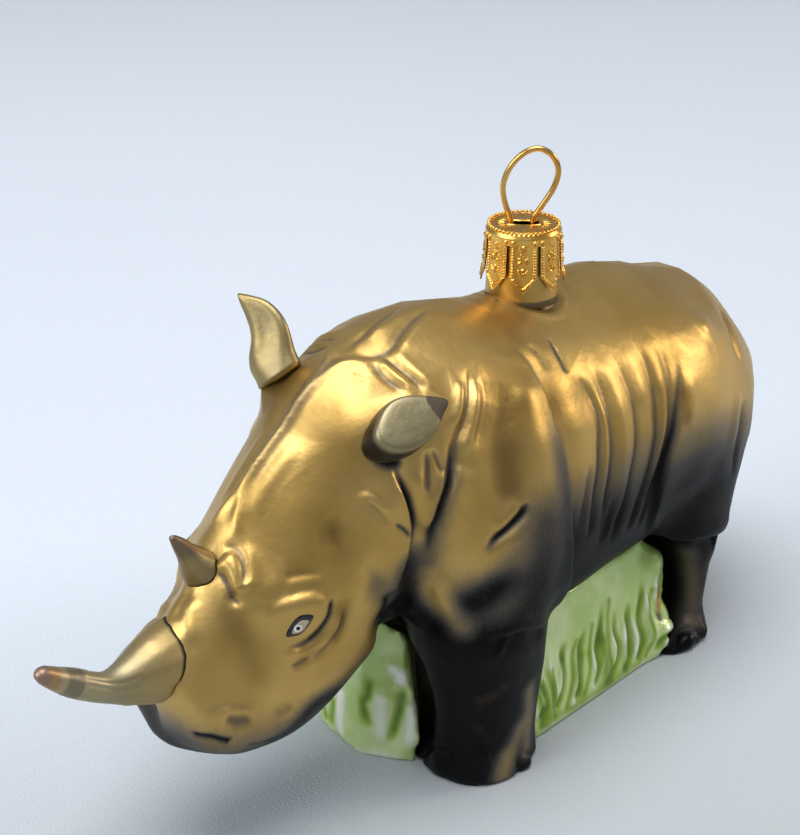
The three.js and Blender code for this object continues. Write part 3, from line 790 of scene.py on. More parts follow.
# Painted reflections: soft brown patches where the lacquer mirrors dark things, and painted shade.
PAINTED_REFLECTIONS = {
    "pit of the temple": ([(333, 527), (337, 545)], 1.5, 0.75),
    "forehead": ([(308, 473), (322, 480), (341, 475)], 1.6, 0.55),
    "beside the ear": ([(338, 411), (341, 427), (346, 442)], 2.4, 0.6),
    "beside the nose": ([(246, 642), (250, 658), (258, 674)], 1.8, 0.35),
    "below the pad": ([(226, 612), (237, 627)], 1.8, 0.4),
    "bag of the eye": ([(343, 608), (342, 622), (336, 635)], 1.1, 0.8),
    "second bag": ([(313, 653), (303, 661)], 0.9, 0.3),
    "over the eye": ([(286, 577), (300, 574), (314, 577)], 1.0, 0.35),
    "hollow of the shoulder": ([(514, 405), (507, 440), (510, 484)], 2.3, 0.65),
    "neck": ([(441, 385), (437, 400)], 2.2, 0.4),
    "before the thigh": ([(682, 394), (685, 417)], 1.4, 0.5),
    "behind the plate": ([(545, 372), (556, 392), (566, 420)], 1.8, 0.5, (0.3, 0.3)),
    "withers": ([(470, 318), (500, 328), (530, 338)], 2.4, 0.35, (0.3, 0.3)),
}
for table, layer in ((SPRAY, "soot_and_shade"), (PAINTED_REFLECTIONS, "painted_reflection")):
    for marks, width, amount, *ends in table.values():
        mould.smoke(seen, marks, width, amount, *ends, paint=layer)
# A raised ring and a soft hollow run round the foot of the glass neck, with soot and painted shade in
# the corner: how high, how far from the axis and how wide.
COLLAR = [(0.3, 6.6, 0.9), (-0.35, 5.3, 0.5)]
CORNER_SOOT_AND_SHADE, CORNER_AT, CORNER_WIDE = 0.55, 5.1, 0.3
COLLAR_OVER, COLLAR_REACH, CORNER_UNDER = 57, 12, 63
wide = np.hypot(x, y)
back = (z > COLLAR_OVER) & (wide < COLLAR_REACH)
collar = sum(height * bell(wide - radius, width) for height, radius, width in COLLAR)
mould.lift += np.where(back, collar, 0) * MM
corner = CORNER_SOOT_AND_SHADE * bell(wide - CORNER_AT, CORNER_WIDE)
mould.blacken(everywhere, np.where(back & (z < CORNER_UNDER), corner, 0))
mould.done()
write(skin, smooth(skin, read(skin), 1))
# The skin keeps its small faces where it is pressed deep or half black, and loses them elsewhere.
LEVELS = 8
DEEP = 0.4 * MM
black = mould.paints["soot_and_shade"]
detail = black * (1 - black) * 4 + np.abs(mould.lift) / DEEP
detail = np.rint(np.clip(detail, 0, 1) * LEVELS).astype(int)
group = skin.vertex_groups.new(name="detail")
for level in range(1, LEVELS + 1):
    group.add(np.where(detail == level)[0].tolist(), level / LEVELS, "REPLACE")
modify(skin, "DECIMATE", ratio=KEPT_FACES / (2 * len(skin.data.polygons)), vertex_group="detail",
       invert_vertex_group=True, vertex_group_factor=0.5)
skin.vertex_groups.clear()

lacquer = Finish("gold_lacquer", Specular_IOR_Level=0.15)
spot = lacquer.place()
# The layer holds the airbrush's black, soot, and painted shade; painted highlights take it away.
soot_and_shade = lacquer.attribute("soot_and_shade")
cloudy = lacquer.noise(spot, 60.0, 4.0)
patchy = lacquer.noise(spot, 150.0)
specks = lacquer.noise(spot, 2200.0, 2.0)
darkness = soot_and_shade + (cloudy - 0.5) * 0.1 + (patchy - 0.5) * 0.05 + (specks - 0.5) * 0.12
dark = lacquer.step(darkness, 0.08, 0.98)
gold = lacquer.coats(
    "cca965",
    (cloudy, 0.35, 0.65, "bd9954"),
    (darkness, 0.08, 0.45, "857355"),
    (darkness, 0.35, 0.72, "47433f"),
    (darkness, 0.6, 0.95, lacquer.coats("0a0908", (patchy, 0.56, 0.72, "271e16"))),
)
# The painted reflections turn the lacquer dark brown.
tone = lacquer.mix(lacquer.attribute("painted_reflection"), gold, "6f5126")
nail = lacquer.step(lacquer.attribute("nail"), 0.45, 0.6)
tone = lacquer.mix(nail, tone, "08080a")
# Painted shade: the neck under the cap is also painted darker, as the cap shades it.
# The open neck under the cap is thinly lacquered: from this height, and within this distance of its axis.
THROAT_FROM, THROAT_WITHIN = (61.2 * MM, 61.8 * MM), (5.2 * MM, 4.7 * MM)
flat = lacquer.node("VectorMath", {"operation": "MULTIPLY"}, [spot, (1, 1, 0)])
wide = lacquer.node("VectorMath", {"operation": "LENGTH"}, [flat], output=1)
throat = lacquer.step(lacquer.along(spot, "Z"), *THROAT_FROM) * lacquer.step(wide, *THROAT_WITHIN)
lacquer.set(
    Base_Color=lacquer.mix(throat, tone, "86703a"),
    Metallic=0.95 - dark * 0.62,
    Roughness=0.38 + patchy * 0.06 + dark * 0.08 - throat * 0.12 - nail * 0.2,
    Normal=lacquer.grainy(spot, 900.0, 0.00004),
)
coat(skin, lacquer)

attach(skin, "root")
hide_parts(*FLESH)

# ---- Grass block ----
# A block of grass under the belly, blown in one with the legs. The mould presses its blades, and they
# are painted in greens on pearly pale lacquer.
def softened(name, node, size, rounds):
    """A copy of one part, with faces of this size, melted smooth and split once more."""
    piece = fused(name, [node])
    modify(piece, "REMESH", mode="VOXEL", voxel_size=size)
    melt(piece, rounds)
    finer(piece)
    return piece


# Blades of grass and the furrows between them on the side, marks in the camera's picture.
BLADES = [
    [(536, 720), (540, 702), (537, 690)], [(554, 715), (555, 690), (550, 670), (547, 647)],
    [(560, 700), (562, 680), (564, 650)], [(570, 710), (576, 685), (577, 660), (575, 637)],
    [(592, 690), (596, 670), (591, 650), (591, 637)], [(597, 680), (604, 655), (602, 635), (600, 605)],
    [(612, 670), (616, 650), (612, 635), (614, 615)], [(625, 665), (624, 645), (624, 615)],
    [(632, 660), (636, 640), (631, 620), (629, 608)], [(646, 647), (650, 632), (646, 602), (641, 582)],
    [(657, 647), (665, 627), (669, 608)], [(655, 600), (652, 582), (650, 572)],
]
FURROWS = [
    [(539, 719), (546, 704), (542, 689), (538, 676)],
    [(555, 712), (562, 693), (564, 675), (562, 654), (566, 638)],
    [(574, 701), (580, 682), (579, 664), (580, 646), (587, 624)],
    [(594, 688), (598, 668), (597, 650), (600, 628), (602, 600)],
    [(605, 689), (616, 664), (618, 646), (614, 628), (616, 606)],
    [(623, 676), (630, 654), (630, 636), (627, 618), (629, 598)],
    [(637, 663), (643, 640), (639, 618), (641, 596), (640, 576)],
    [(652, 652), (664, 633), (666, 608), (661, 588)],
]
# Strokes of green over them, and of rust and umber by the rear leg: marks, width and strength.
TUFTS = {
    "thin": ([(548, 716), (553, 695), (552, 670)], 0.5, 0.8),
    "second thin": ([(567, 706), (572, 680), (572, 655), (576, 640)], 0.5, 0.8),
    "third thin": ([(585, 694), (590, 670), (589, 650), (592, 625)], 0.5, 0.8),
    "fourth thin": ([(612, 682), (610, 655), (607, 630), (609, 600)], 0.5, 0.8),
    "fifth thin": ([(645, 656), (650, 634), (648, 612), (650, 590)], 0.5, 0.8),
    "broad": ([(606, 682), (606, 660), (603, 640)], 1.4, 0.8),
    "second": ([(580, 694), (579, 674), (582, 655)], 1.0, 0.7),
    "third": ([(626, 665), (627, 645)], 1.2, 0.7),
    "foot of the block": ([(545, 721), (580, 703), (612, 681), (640, 661)], 0.9, 0.5),
    "under the belly": ([(662, 545), (668, 552), (672, 565)], 1.5, 0.75),
    "upper edge": ([(640, 560), (652, 575), (660, 600)], 1.6, 0.35),
}
RUST = ([(654, 586), (657, 600), (656, 612)], 0.55, 0.95, (0.2, 0.2))
UMBER = ([(656, 614), (656, 620)], 0.6, 0.95)
SWELLING = ([(652, 560), (658, 580), (662, 605), (664, 635)], 3.0, 1.7)  # before the rear leg
# The end between the front legs: marks, width and height pressed, width, strength and kind of paint.
FRONT_END = {
    "furrow": ([(369, 676), (367, 696), (362, 706), (370, 732)], 0.9, -0.4, 1.0, 0.95, "soot_and_shade"),
    "second furrow": ([(404, 687), (400, 706), (396, 720), (389, 746)], 0.9, -0.4, 0.9, 0.95, "soot_and_shade"),
    "left furrow": ([(323, 700), (327, 722)], 0.9, -0.3, 1.0, 0.9, "soot_and_shade"),
    "last furrow": ([(333, 695), (331, 728)], 0.7, -0.3, 0.9, 0.8, "soot_and_shade"),
    "shade": ([(385, 675), (392, 695), (402, 688)], 1.6, 0.2, 1.4, 0.5, "soot_and_shade"),
    "upper shade": ([(378, 655), (400, 662), (410, 672)], 1.6, 0.2, 1.6, 0.4, "soot_and_shade"),
    "ridge": ([(343, 685), (342, 715), (340, 745)], 1.3, 0.5, 1.2, 0.9, "pale"),
    "bright patch": ([(388, 664), (400, 676), (396, 686)], 1.0, 0.4, 1.2, 0.9, "pale"),
    "middle ridge": ([(383, 690), (380, 715), (384, 745)], 1.2, 0.4, 1.4, 0.7, "pale"),
    "right ridge": ([(412, 700), (411, 725), (408, 752)], 1.2, 0.4, 1.2, 0.7, "pale"),
    "foot": ([(345, 756), (375, 757), (404, 767)], 1.2, 0.2, 1.6, 0.6, "pale"),
}
# The end between the rear legs, and the sides behind the front legs: where each blade stands, across or
# along, and how its line and the furrow beside it lean, in millimetres from there and up.
REAR_BLADES, SIDE_BLADES = (-12, -8.5, -5, -1, 3, 6.5, 10), (-25, -22, -18.5, -15, -12)
REAR_LEAN, REAR_PAINT = [(0, 1), (0.8, 7), (-0.6, 13)], [(0, 1), (0.8, 7), (-0.6, 12)]
REAR_FURROW = [(1.7, 1), (2.3, 6), (1.6, 11)]
SIDE_LEAN, SIDE_FURROW = [(0, 1), (0.7, 6), (-0.5, 13)], [(1.6, 1), (2.2, 6), (1.5, 11)]


def moved(line, aside):
    return [(across + aside, up) for across, up in line]


grass = softened("grass_block", "grass_base", 0.8 * MM, 6)
mould = Mould(grass, both=True)
press, smoke = mould.press, mould.smoke
press(seen, *SWELLING, taper=(0, 0))
for blade in BLADES:
    press(seen, blade, 0.6, 0.45, taper=(0.2, 0.6))
    smoke(seen, blade, 0.6, 0.85, taper=(0.1, 0.5), paint="pale")
for furrow in FURROWS:
    press(seen, furrow, 0.5, -0.5, taper=(0.1, 0.4))
    smoke(seen, furrow, 0.7, 1.0, taper=(0.1, 0.3))
for marks, width, amount in TUFTS.values():
    smoke(seen, marks, width, amount)
smoke(seen, *RUST, paint="rust")
smoke(seen, *UMBER, paint="umber")
for marks, width, height, brush, amount, layer in FRONT_END.values():
    press(seen, marks, width, height, taper=(0.2, 0.3), both=False)
    smoke(seen, marks, brush, amount, taper=(0.2, 0.3), both=False, paint=layer)
for across in REAR_BLADES:
    press(behind, moved(REAR_LEAN, across), 0.9, 0.7, taper=(0.1, 0.6), both=False)
    smoke(behind, moved(REAR_PAINT, across), 0.6, 0.8, taper=(0.1, 0.6), both=False, paint="pale")
    smoke(behind, moved(REAR_FURROW, across), 0.8, 0.9, taper=(0.1, 0.5), both=False)
for along in SIDE_BLADES:
    press(beside, moved(SIDE_LEAN, along), 0.8, 0.7, taper=(0.1, 0.6))
    smoke(beside, moved(SIDE_FURROW, along), 0.8, 0.85, taper=(0.1, 0.5))
mould.done()

grassy = Finish("green_lacquer", Metallic=0.2, Roughness=0.3, Coat_Weight=0.7, Coat_Roughness=0.1)
spot = grassy.place()
patchy = grassy.noise(spot, 120.0)
streaky = grassy.noise(spot, 260.0, stretch=(1, 1, 0.25))
pale = grassy.attribute("pale") + (streaky - 0.5) * 0.5
green = grassy.attribute("soot_and_shade") + (streaky - 0.5) * 0.45
meadow = grassy.coats(
    "b0cc68",
    (patchy, 0.35, 0.65, "d0df9c"),
    (pale, 0.1, 0.9, "f2f3de"),
    (green, 0.1, 0.7, "8cab1c"),
    (green, 0.6, 1.0, "577d10"),
)
meadow = grassy.mix(grassy.attribute("rust"), meadow, "b5701c")
grassy.set(
    Base_Color=grassy.mix(grassy.attribute("umber"), meadow, "3a2414"),
    Normal=grassy.bump(streaky, 0.0004, grassy.grainy(spot, 500.0, 0.00006)),
)
coat(grass, grassy)
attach(grass, "root")
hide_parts("grass_base")


# ---- Horns ----
# Two horns drawn out of the hot glass on the nose, lacquered in pewter. The front one is long and
# curved, with an amber tip and a grey band behind it.
FRONT_ROOT, FRONT_RUN_ON = (-73.5, -69), 1.8  # its root runs on this far into the nose
# Its grooves and the ridge between them, and where it is thinner on the far side.
HORN_LINES = {
    "lower groove": ([(83, 683), (105, 688), (123, 689), (147, 681)], 0.3, -0.16, 0, (0.2, 0.3)),
    "upper groove": ([(81, 678), (105, 683), (123, 684), (146, 676)], 0.3, -0.16, 0, (0.2, 0.3)),
    "ridge": ([(82, 680), (105, 685), (123, 686), (147, 678)], 0.25, 0.1),
}
THINNER = {
    "underside": ([(128, 706), (142, 705)], 2.4, -0.7),
    "top": ([(95, 661), (103, 656), (121, 633)], 3.0, -1.1),
}
front_horn = softened("front_horn", "horn_front", 0.45 * MM, 10)
x, y, z = read(front_horn).T / MM
y += FRONT_RUN_ON * soft(y, *FRONT_ROOT) ** 2
write(front_horn, np.array((x, y, z)).T * MM)
mould = Mould(front_horn, both=True)
for marks, *sizes in HORN_LINES.values():
    mould.press(seen, marks, *sizes)
for marks, width, height in THINNER.values():
    mould.press(seen, marks, width, height, taper=(0, 0), both=False)
tip = mould.points[mould.points[:, 1].argmin()]
mould.around(skin, 0.4, 0.9)
mould.paints["length"] = np.linalg.norm(mould.points - tip, axis=1) / MM
mould.done()

pearl = Finish("pewter_lacquer", Metallic=0.85)
spot = pearl.place()
cloudy = pearl.noise(spot, 120.0)
length = pearl.attribute("length") + (cloudy - 0.5) * 0.4
tone = pearl.coats(
    "978a67",
    (cloudy, 0.3, 0.7, "a99c7b"),
    (length, 11.0, 18.0, "a8905e"),
    (length, 7.0, 6.6, "857b66"),
    (length, 4.6, 4.0, "ab9a7c"),
    (length, 3.6, 2.8, "a6885e"),
    (length, 2.4, 1.6, "987d68"),
    (pearl.attribute("soot_and_shade"), 0.2, 0.8, "2a2522"),
)
pearl.set(
    Base_Color=tone,
    Roughness=0.4 + cloudy * 0.1,
    Normal=pearl.grainy(spot, 900.0, 0.00004),
)
coat(front_horn, pearl)

REAR_SUNK, SUNK_BACK, SUNK_DOWN = (45, 42.2), 0.7, 1.4  # its root sinks into the nose
REAR_ROOT = np.array((0, -63.6, 42.6)) * MM
WAIST, WAIST_SHARP = 0.3, 1.5  # how much thinner it is halfway up
rear_horn = softened("rear_horn", "horn_rear", 0.35 * MM, 4)
x, y, z = read(rear_horn).T / MM
sunk = soft(z, *REAR_SUNK) ** 2
write(rear_horn, np.array((x, y + SUNK_BACK * sunk, z - SUNK_DOWN * sunk)).T * MM)
mould = Mould(rear_horn, both=True)
mould.around(skin, 0.35, 0.9)
mould.done()
points = read(rear_horn)
way = points[points[:, 2].argmax()] - REAR_ROOT
length = np.linalg.norm(way)
way /= length
far = (points - REAR_ROOT) @ way
core = REAR_ROOT + far[:, None] * way
slim = 1 - WAIST * np.sin(np.pi * np.clip(far / length, 0, 1)) ** WAIST_SHARP
write(rear_horn, core + (points - core) * slim[:, None])

dusky = Finish("dusky_lacquer", Metallic=0.85)
spot = dusky.place()
tall = dusky.along(spot, "Z")
tone = dusky.coats(
    "877650",
    (tall, 42.5 * MM, 45.5 * MM, "97845a"),
    (tall, 45.8 * MM, 47.4 * MM, "7d6a55"),
    (dusky.attribute("soot_and_shade"), 0.2, 0.8, "2e2315"),
)
dusky.set(
    Base_Color=tone,
    Roughness=0.4 + dusky.noise(spot, 200.0) * 0.08,
    Normal=dusky.grainy(spot, 900.0, 0.00004),
)
coat(rear_horn, dusky)
for horn, node in ((front_horn, "horn_front"), (rear_horn, "horn_rear")):
    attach(horn, "root")
    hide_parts(node)


# ---- Ears ----
# Two ears drawn out of the glass and pressed flat while soft, lacquered in pewter. The left one turns
# its flat face outwards. The right one stands up and is cupped.
def on_plane(mark, through, normal):
    """The point of a plane that the camera sees at this point of its picture."""
    start, way = seen(*mark)
    return np.array(start + way * ((Vector(through) * MM - start).dot(normal) / way.dot(normal)))


def ball(name, segments, rows, place):
    """A closed skin. 'place' gives the points of its ring at a row, from one pole to the other."""
    bpy.ops.object.select_all(action="DESELECT")
    bpy.ops.mesh.primitive_uv_sphere_add(segments=segments, ring_count=rows - 1)
    piece = bpy.context.object
    piece.name = name
    x, y, z = read(piece).T
    row = np.rint(np.arccos(np.clip(z, -1, 1)) / np.pi * (rows - 1)).astype(int)
    column = np.rint(np.arctan2(y, x) / (2 * np.pi) * segments).astype(int) % segments
    rings = np.array([place(i) for i in range(rows)])
    write(piece, rings[row, column])
    edit(piece, normals_make_consistent={"inside": False})
    bpy.ops.object.shade_smooth()
    return piece, row


LOOP_STEPS = 16  # from one point of a loop to the next


def taken(line, places, at):
    """Points on a line, whose own points lie at these places, taken at others."""
    return np.array([np.interp(at, places, line[:, i]) for i in range(3)]).T


def loop(points, count):
    """A closed smooth line through these points, with this many points evenly along it."""
    points = np.array(points)
    ends = np.vstack([points[-1:], points, points[:2]])
    t = np.arange(LOOP_STEPS)[:, None] / LOOP_STEPS
    line = np.vstack([curve(a, b, c, d, t) for a, b, c, d in zip(ends, ends[1:], ends[2:], ends[3:])])
    line = np.vstack([line, line[:1]])
    length = np.concatenate([[0], np.cumsum(np.linalg.norm(np.diff(line, axis=0), axis=1))])
    return taken(line, length, np.arange(count) / count * length[-1])


FACE_WAY = Vector((0.683, -0.292, 0.662)).normalized()
FACE_AT = (14.2, -39.4, 60.4)
FACE = [(451, 398), (446, 413), (439, 429), (422, 446), (402, 451), (386, 447), (377, 436), (378, 421),
        (386, 405), (398, 396), (414, 393), (432, 394)]
LEFT_ROOT = np.array((11.0, -41.0, 57.0)) * MM
LEFT_AROUND = 64
# Each row of the ear: how much of the outline it fills, how far it lies behind the face, and its share
# of the way to the root.
LEFT_ROWS = [
    (0, 0, 0), (0.4, 0.02, 0), (0.7, 0.06, 0), (0.86, 0.14, 0), (0.94, 0.3, 0), (0.98, 0.6, 0.01),
    (1, 1.0, 0.03), (1.01, 1.5, 0.1), (1, 1.9, 0.2), (0.97, 2.3, 0.32), (0.86, 2.6, 0.46),
    (0.7, 2.8, 0.62), (0.5, 2.8, 0.85), (0, 2.8, 1.1),
]
face = loop([on_plane(mark, FACE_AT, FACE_WAY) for mark in FACE], LEFT_AROUND)
middle = face.mean(0)


def left_ring(i):
    fill, depth, share = LEFT_ROWS[i]
    centre = middle + (LEFT_ROOT - middle) * share
    return centre + (face - middle) * fill - np.array(FACE_WAY) * depth * MM


left_ear, _ = ball("left_ear", LEFT_AROUND, len(LEFT_ROWS), left_ring)
LEFT_EDGE = [(262, 394), (257, 382), (251, 371), (249.5, 358), (251.5, 341), (250, 328), (245, 314),
             (240, 302)]
RIGHT_EDGE = [(303, 368), (298, 358), (294, 349), (291, 337), (287, 324), (279, 311), (266, 300),
              (250, 295)]
RIGHT_TIP = (238, 293)
CUP_WAY = Vector((0.35, -0.88, 0.3)).normalized()
CUP_AT = (-10.5, -41.5, 63)
RINGS, RIGHT_AROUND = 34, 32  # of the ear, and the points round each
EDGE_STEP = 0.5 * MM
RIGHT_THICK, RIGHT_THINS = 2.3, 1.7  # half its thickness at the root, and how much of it the tip loses
CUP_DEPTH, CUP_RUN, CUP_ASIDE, CUP_WIDE = 0.6, 1.15, 0.2, 0.6
heights = np.linspace(0, 1, RINGS)
turns = np.arange(RIGHT_AROUND) / RIGHT_AROUND * 2 * np.pi


def up_edge(marks):
    """Points up one edge of the ear to its tip, one for each ring."""
    line = spline([on_plane(mark, CUP_AT, CUP_WAY) for mark in [*marks, RIGHT_TIP]], EDGE_STEP)
    return taken(line, np.linspace(0, 1, len(line)), heights)


lefts, rights = up_edge(LEFT_EDGE), up_edge(RIGHT_EDGE)


def right_ring(i):
    up = heights[i]
    pole = 0 if i in (0, RINGS - 1) else 1
    thick = (RIGHT_THICK - RIGHT_THINS * up) * MM * pole
    across = (rights[i] - lefts[i]) / 2 * pole
    deep = CUP_DEPTH * MM * math.sin(math.pi * min(1, up * CUP_RUN))
    hollow = deep * bell(np.cos(turns) - CUP_ASIDE, CUP_WIDE)
    out = thick * np.sin(turns) - np.where(np.sin(turns) > 0, hollow * np.sin(turns), 0)
    centre = (lefts[i] + rights[i]) / 2
    return centre + np.cos(turns)[:, None] * across + out[:, None] * np.array(CUP_WAY)


right_ear, _ = ball("right_ear", RIGHT_AROUND, RINGS, right_ring)
for ear, node in ((left_ear, "ear_left"), (right_ear, "ear_right")):
    finer(ear)
    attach(ear, "root")
    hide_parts(node)

points = read(left_ear)
nib = np.array(on_plane(FACE[0], FACE_AT, FACE_WAY))
paint(left_ear, "nib", np.linalg.norm(points - nib, axis=1) / MM)
paint(left_ear, "behind", (middle - points) @ np.array(FACE_WAY) / MM)
pewter = Finish("ear_lacquer", Metallic=0.9)
spot = pewter.place()
far = pewter.attribute("nib") + (pewter.noise(spot, 700.0, 2.0) - 0.5) * 0.9
# The ear's wall behind its face is darker: dark paint, and painted shade.
tone = pewter.coats(
    "8a7e5d",
    (pewter.noise(spot, 180.0), 0.3, 0.7, "988c6b"),
    (pewter.attribute("behind"), 0.5, 1.6, "37312a"),
)
chipped = pewter.step(far, 3.4, 3.1)
pewter.set(
    Base_Color=pewter.mix(chipped, tone, "5d5144"),
    Roughness=0.42 + chipped * 0.25,
    Normal=pewter.grainy(spot, 900.0, 0.00005),
)
coat(left_ear, pewter)

cupped = Finish("cupped_ear_lacquer", Metallic=0.9)
spot = cupped.place()
cloudy = cupped.noise(spot, 180.0)
cupped.set(
    Base_Color=cupped.coats("a58f5c", (cloudy, 0.3, 0.7, "8d7d58")),
    Roughness=0.38 + cloudy * 0.08,
    Normal=cupped.grainy(spot, 900.0, 0.00004),
)
coat(right_ear, cupped)


# ---- Eyes ----
# Two almond eyes, silver-white with a dark pupil inside a thick black line, painted on the fold of the
# lids. Low lenses of the glass stand for them.
ALMOND = [(285.5, 637), (289, 627), (294, 620), (299, 615.5), (304, 614), (314.5, 615), (311, 623),
          (306, 630), (300, 635), (293, 637)]
PUPIL, PUPIL_RISE = (297.3, 626.3), 0.32 * MM
EYE_AROUND = 48
# Each row of the eye: how much of the outline it fills, and how high it lies in millimetres. Its rows
# below the lid are black.
EYE_ROWS = [(0, 0.34), (0.25, 0.33), (0.5, 0.29), (0.72, 0.2), (0.88, 0.1), (1, -0.05), (1.04, -0.4),
            (0.6, -0.8), (0, -0.9)]
LID = -0.2
lids = Mould(skin, both=False)
almond = loop([lids.land(*seen(*mark)) for mark in ALMOND], EYE_AROUND)
middle = almond.mean(0)
eye_way = lids.tree.find_nearest(Vector(middle))[1]
pupil = lids.land(*seen(*PUPIL)) + np.array(eye_way) * PUPIL_RISE


def eye_ring(i):
    fill, height = EYE_ROWS[i]
    return middle + (almond - middle) * fill + np.array(eye_way) * height * MM


painted = Finish("eye_paint", Roughness=0.18, Specular_IOR_Level=0.6)
spot = painted.place()
folded = [abs(painted.along(spot, "X")), painted.along(spot, "Y"), painted.along(spot, "Z")]
folded = painted.node("CombineXYZ", inputs=folded)  # the right half on to the left
near = painted.node("VectorMath", {"operation": "DISTANCE"}, [folded, tuple(pupil)], output=1)
near = near * 1000  # millimetres from the pupil
iris = painted.coats(
    "bfae8c",
    (near, 0.66, 0.6, "8a857e"),
    (near, 0.6, 0.54, "efece4"),
    (near, 0.34, 0.28, "0d0c0e"),
)
rim = painted.attribute("rim") + (painted.noise(spot, 900.0) - 0.5) * 0.12
line = painted.step(rim, 0.54, 0.62)
painted.set(Base_Color=painted.mix(line, iris, "0d0c0e"), Metallic=0.5 - line * 0.5)
rims = np.array([min(fill, 1) if height > LID else 1 for fill, height in EYE_ROWS])
for side, name, node in ((1, "left_eye", "eye_left"), (-1, "right_eye", "eye_right")):
    eye, row = ball(name, EYE_AROUND, len(EYE_ROWS), eye_ring)
    paint(eye, "rim", rims[row])
    write(eye, read(eye) * np.array((side, 1, 1)))
    if side < 0:
        eye.data.flip_normals()
    finer(eye)
    coat(eye, painted)
    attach(eye, "root")
    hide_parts(node)


# ---- Crown cap ----
# A cap stamped from thin gilt brass: a disc with a slot for the wire, a rolled shoulder and a skirt cut
# into eight pointed petals, all embossed.
CAP_TOP, CAP_RADIUS, SHEET = 73.1, 5.4, 0.22
SKIRT_TOP, SKIRT_OUT, FLARE = 71.6, 0.08, 0.55  # its upper edge, and its spread there and below
PETAL_COUNT, PETAL_TURN, SLIT = 8, math.radians(-50), 0.55
PETAL_LENGTH, PETAL_STRAIGHT = 7.2, 4.8  # down to its point, and down to where it narrows
PETAL_GRID = (44, 84)
SLOT_HALF, SLOT_TURN = (2.2, 0.8), 0.72
TOP_GRID = (240, 64)
# Embossed on each petal, in millimetres across and down: beads with their radius and height, a ring and
# half a ring with their radius, width and height, and the turns of the leaves of a flower.
BEADS = [
    ((0, 0.25), 0.27, 0.24), ((0, 2.25), 0.17, 0.18), ((-0.3, 1.35), 0.17, 0.15), ((0.35, 1.3), 0.13, 0.1),
    ((-0.05, 3.55), 0.24, 0.22),
]
RING, HALF_RING, HALF_FROM = ((0, 0.25), 0.6, 0.13, 0.08), ((-0.05, 3.55), 0.6, 0.16, 0.15), 3.5
FLOWER, LEAF_OUT, LEAF, LEAVES = (0, 2.25), 0.5, (0.18, 0.2, 2.2), (-1.57, -0.5, 0.45, 2.7, 3.65)
# Beads down its straight edges and along its pointed ones, and the welt outside them.
SIDE_BEADS, SIDE_IN, SIDE_TOP, SIDE_PITCH = 12, 0.36, 0.1, 0.41
POINT_BEADS, POINT_IN, POINT_TOP, POINT_SHORT, POINT_TURN = 5, 0.45, 5.0, 5.75, -0.9
EDGE_BEAD, POINT_BEAD = (0.2, 0.22), (0.2, 0.22, 1.3)
WELT, WELT_IN, WELT_WIDE = 0.06, 0.08, 0.14
# The disc and the shoulder, from the slot outwards: shares of the way, and radius or height there.
DISC_EDGE, SHOULDER_FROM = 0.5, 0.62
DISC_RADIUS, SHOULDER_RADIUS = 4.0, 4.75
TOP_RADII = [(0.62, 4.75), (0.74, 5.12), (0.86, CAP_RADIUS + 0.02), (1, CAP_RADIUS + SKIRT_OUT)]
TOP_HEIGHTS = [(0, 0), (0.05, 0.14), (0.12, 0), (0.66, 0), (0.74, -0.16), (0.86, -0.65), (1, -1.7)]
RAYS, RAYS_AT, RAYS_WIDE, RAYS_HIGH = 26, 3.3, 1.7, 0.09
HOOP_AT, HOOP_WIDE, HOOP_HIGH = 4.3, 0.16, 0.1
RIM_BEADS, RIM_AT, RIM_BEAD = 46, (5.0, 0.02), 0.27
SLIT_ASIDE, SLIT_AT, SLIT_BEAD = 0.1, 0.3, 0.33
CREASE = math.radians(50)  # sharper edges than this stay sharp
pitch = 2 * math.pi / PETAL_COUNT
widest = (pitch * CAP_RADIUS - SLIT) / 2


def sheet(name, across, down, place):
    """A grid of points that 'place' moves, from 0 to 1 both ways, to where they lie in millimetres."""
    bpy.ops.object.select_all(action="DESELECT")
    bpy.ops.mesh.primitive_grid_add(x_subdivisions=across, y_subdivisions=down, size=2)
    piece = bpy.context.object
    piece.name = name
    x, y, _ = read(piece).T
    write(piece, place((x + 1) / 2, (y + 1) / 2) * MM)
    return piece


def dome(across, down, at, radius, height, length=1.0, turn=0.0):
    """A raised bead, or a leaf where it is longer than wide."""
    x, y = across - at[0], down - at[1]
    x, y = x * math.cos(turn) + y * math.sin(turn), y * math.cos(turn) - x * math.sin(turn)
    return height * np.sqrt(np.clip(1 - (x / radius / length) ** 2 - (y / radius) ** 2, 0, 1))


def ridge(off, width):
    """1 in the middle, and nothing from one width away."""
    return np.clip(1 - (off / width) ** 2, 0, 1)


def ring(across, down, at, radius, width, height):
    return height * ridge(np.hypot(across - at[0], down - at[1]) - radius, width)


def stamp(across, down):
    """Height of the embossing on a petal."""
    slope = widest / (PETAL_LENGTH - PETAL_STRAIGHT)
    aside = np.abs(across)
    edge = np.minimum(widest - aside, ((PETAL_LENGTH - down) * slope - aside) / math.hypot(1, slope))
    height = WELT * ridge(edge - WELT_IN, WELT_WIDE)
    height += ring(across, down, *RING) + np.where(down > HALF_FROM, ring(across, down, *HALF_RING), 0)
    for at, radius, high in BEADS:
        height += dome(across, down, at, radius, high)
    for turn in LEAVES:
        at = (FLOWER[0] + LEAF_OUT * math.cos(turn), FLOWER[1] + LEAF_OUT * math.sin(turn))
        height += dome(across, down, at, *LEAF, turn)
    for side in (-1, 1):
        for step in range(SIDE_BEADS):
            at = (side * (widest - SIDE_IN), SIDE_TOP + step * SIDE_PITCH)
            height += dome(across, down, at, *EDGE_BEAD)
        for step in range(POINT_BEADS):
            share = (step + 0.4) / POINT_BEADS
            at = (side * (widest - POINT_IN) * (1 - share), POINT_TOP + share * (PETAL_LENGTH - POINT_SHORT))
            height += dome(across, down, at, *POINT_BEAD, side * POINT_TURN)
    return height


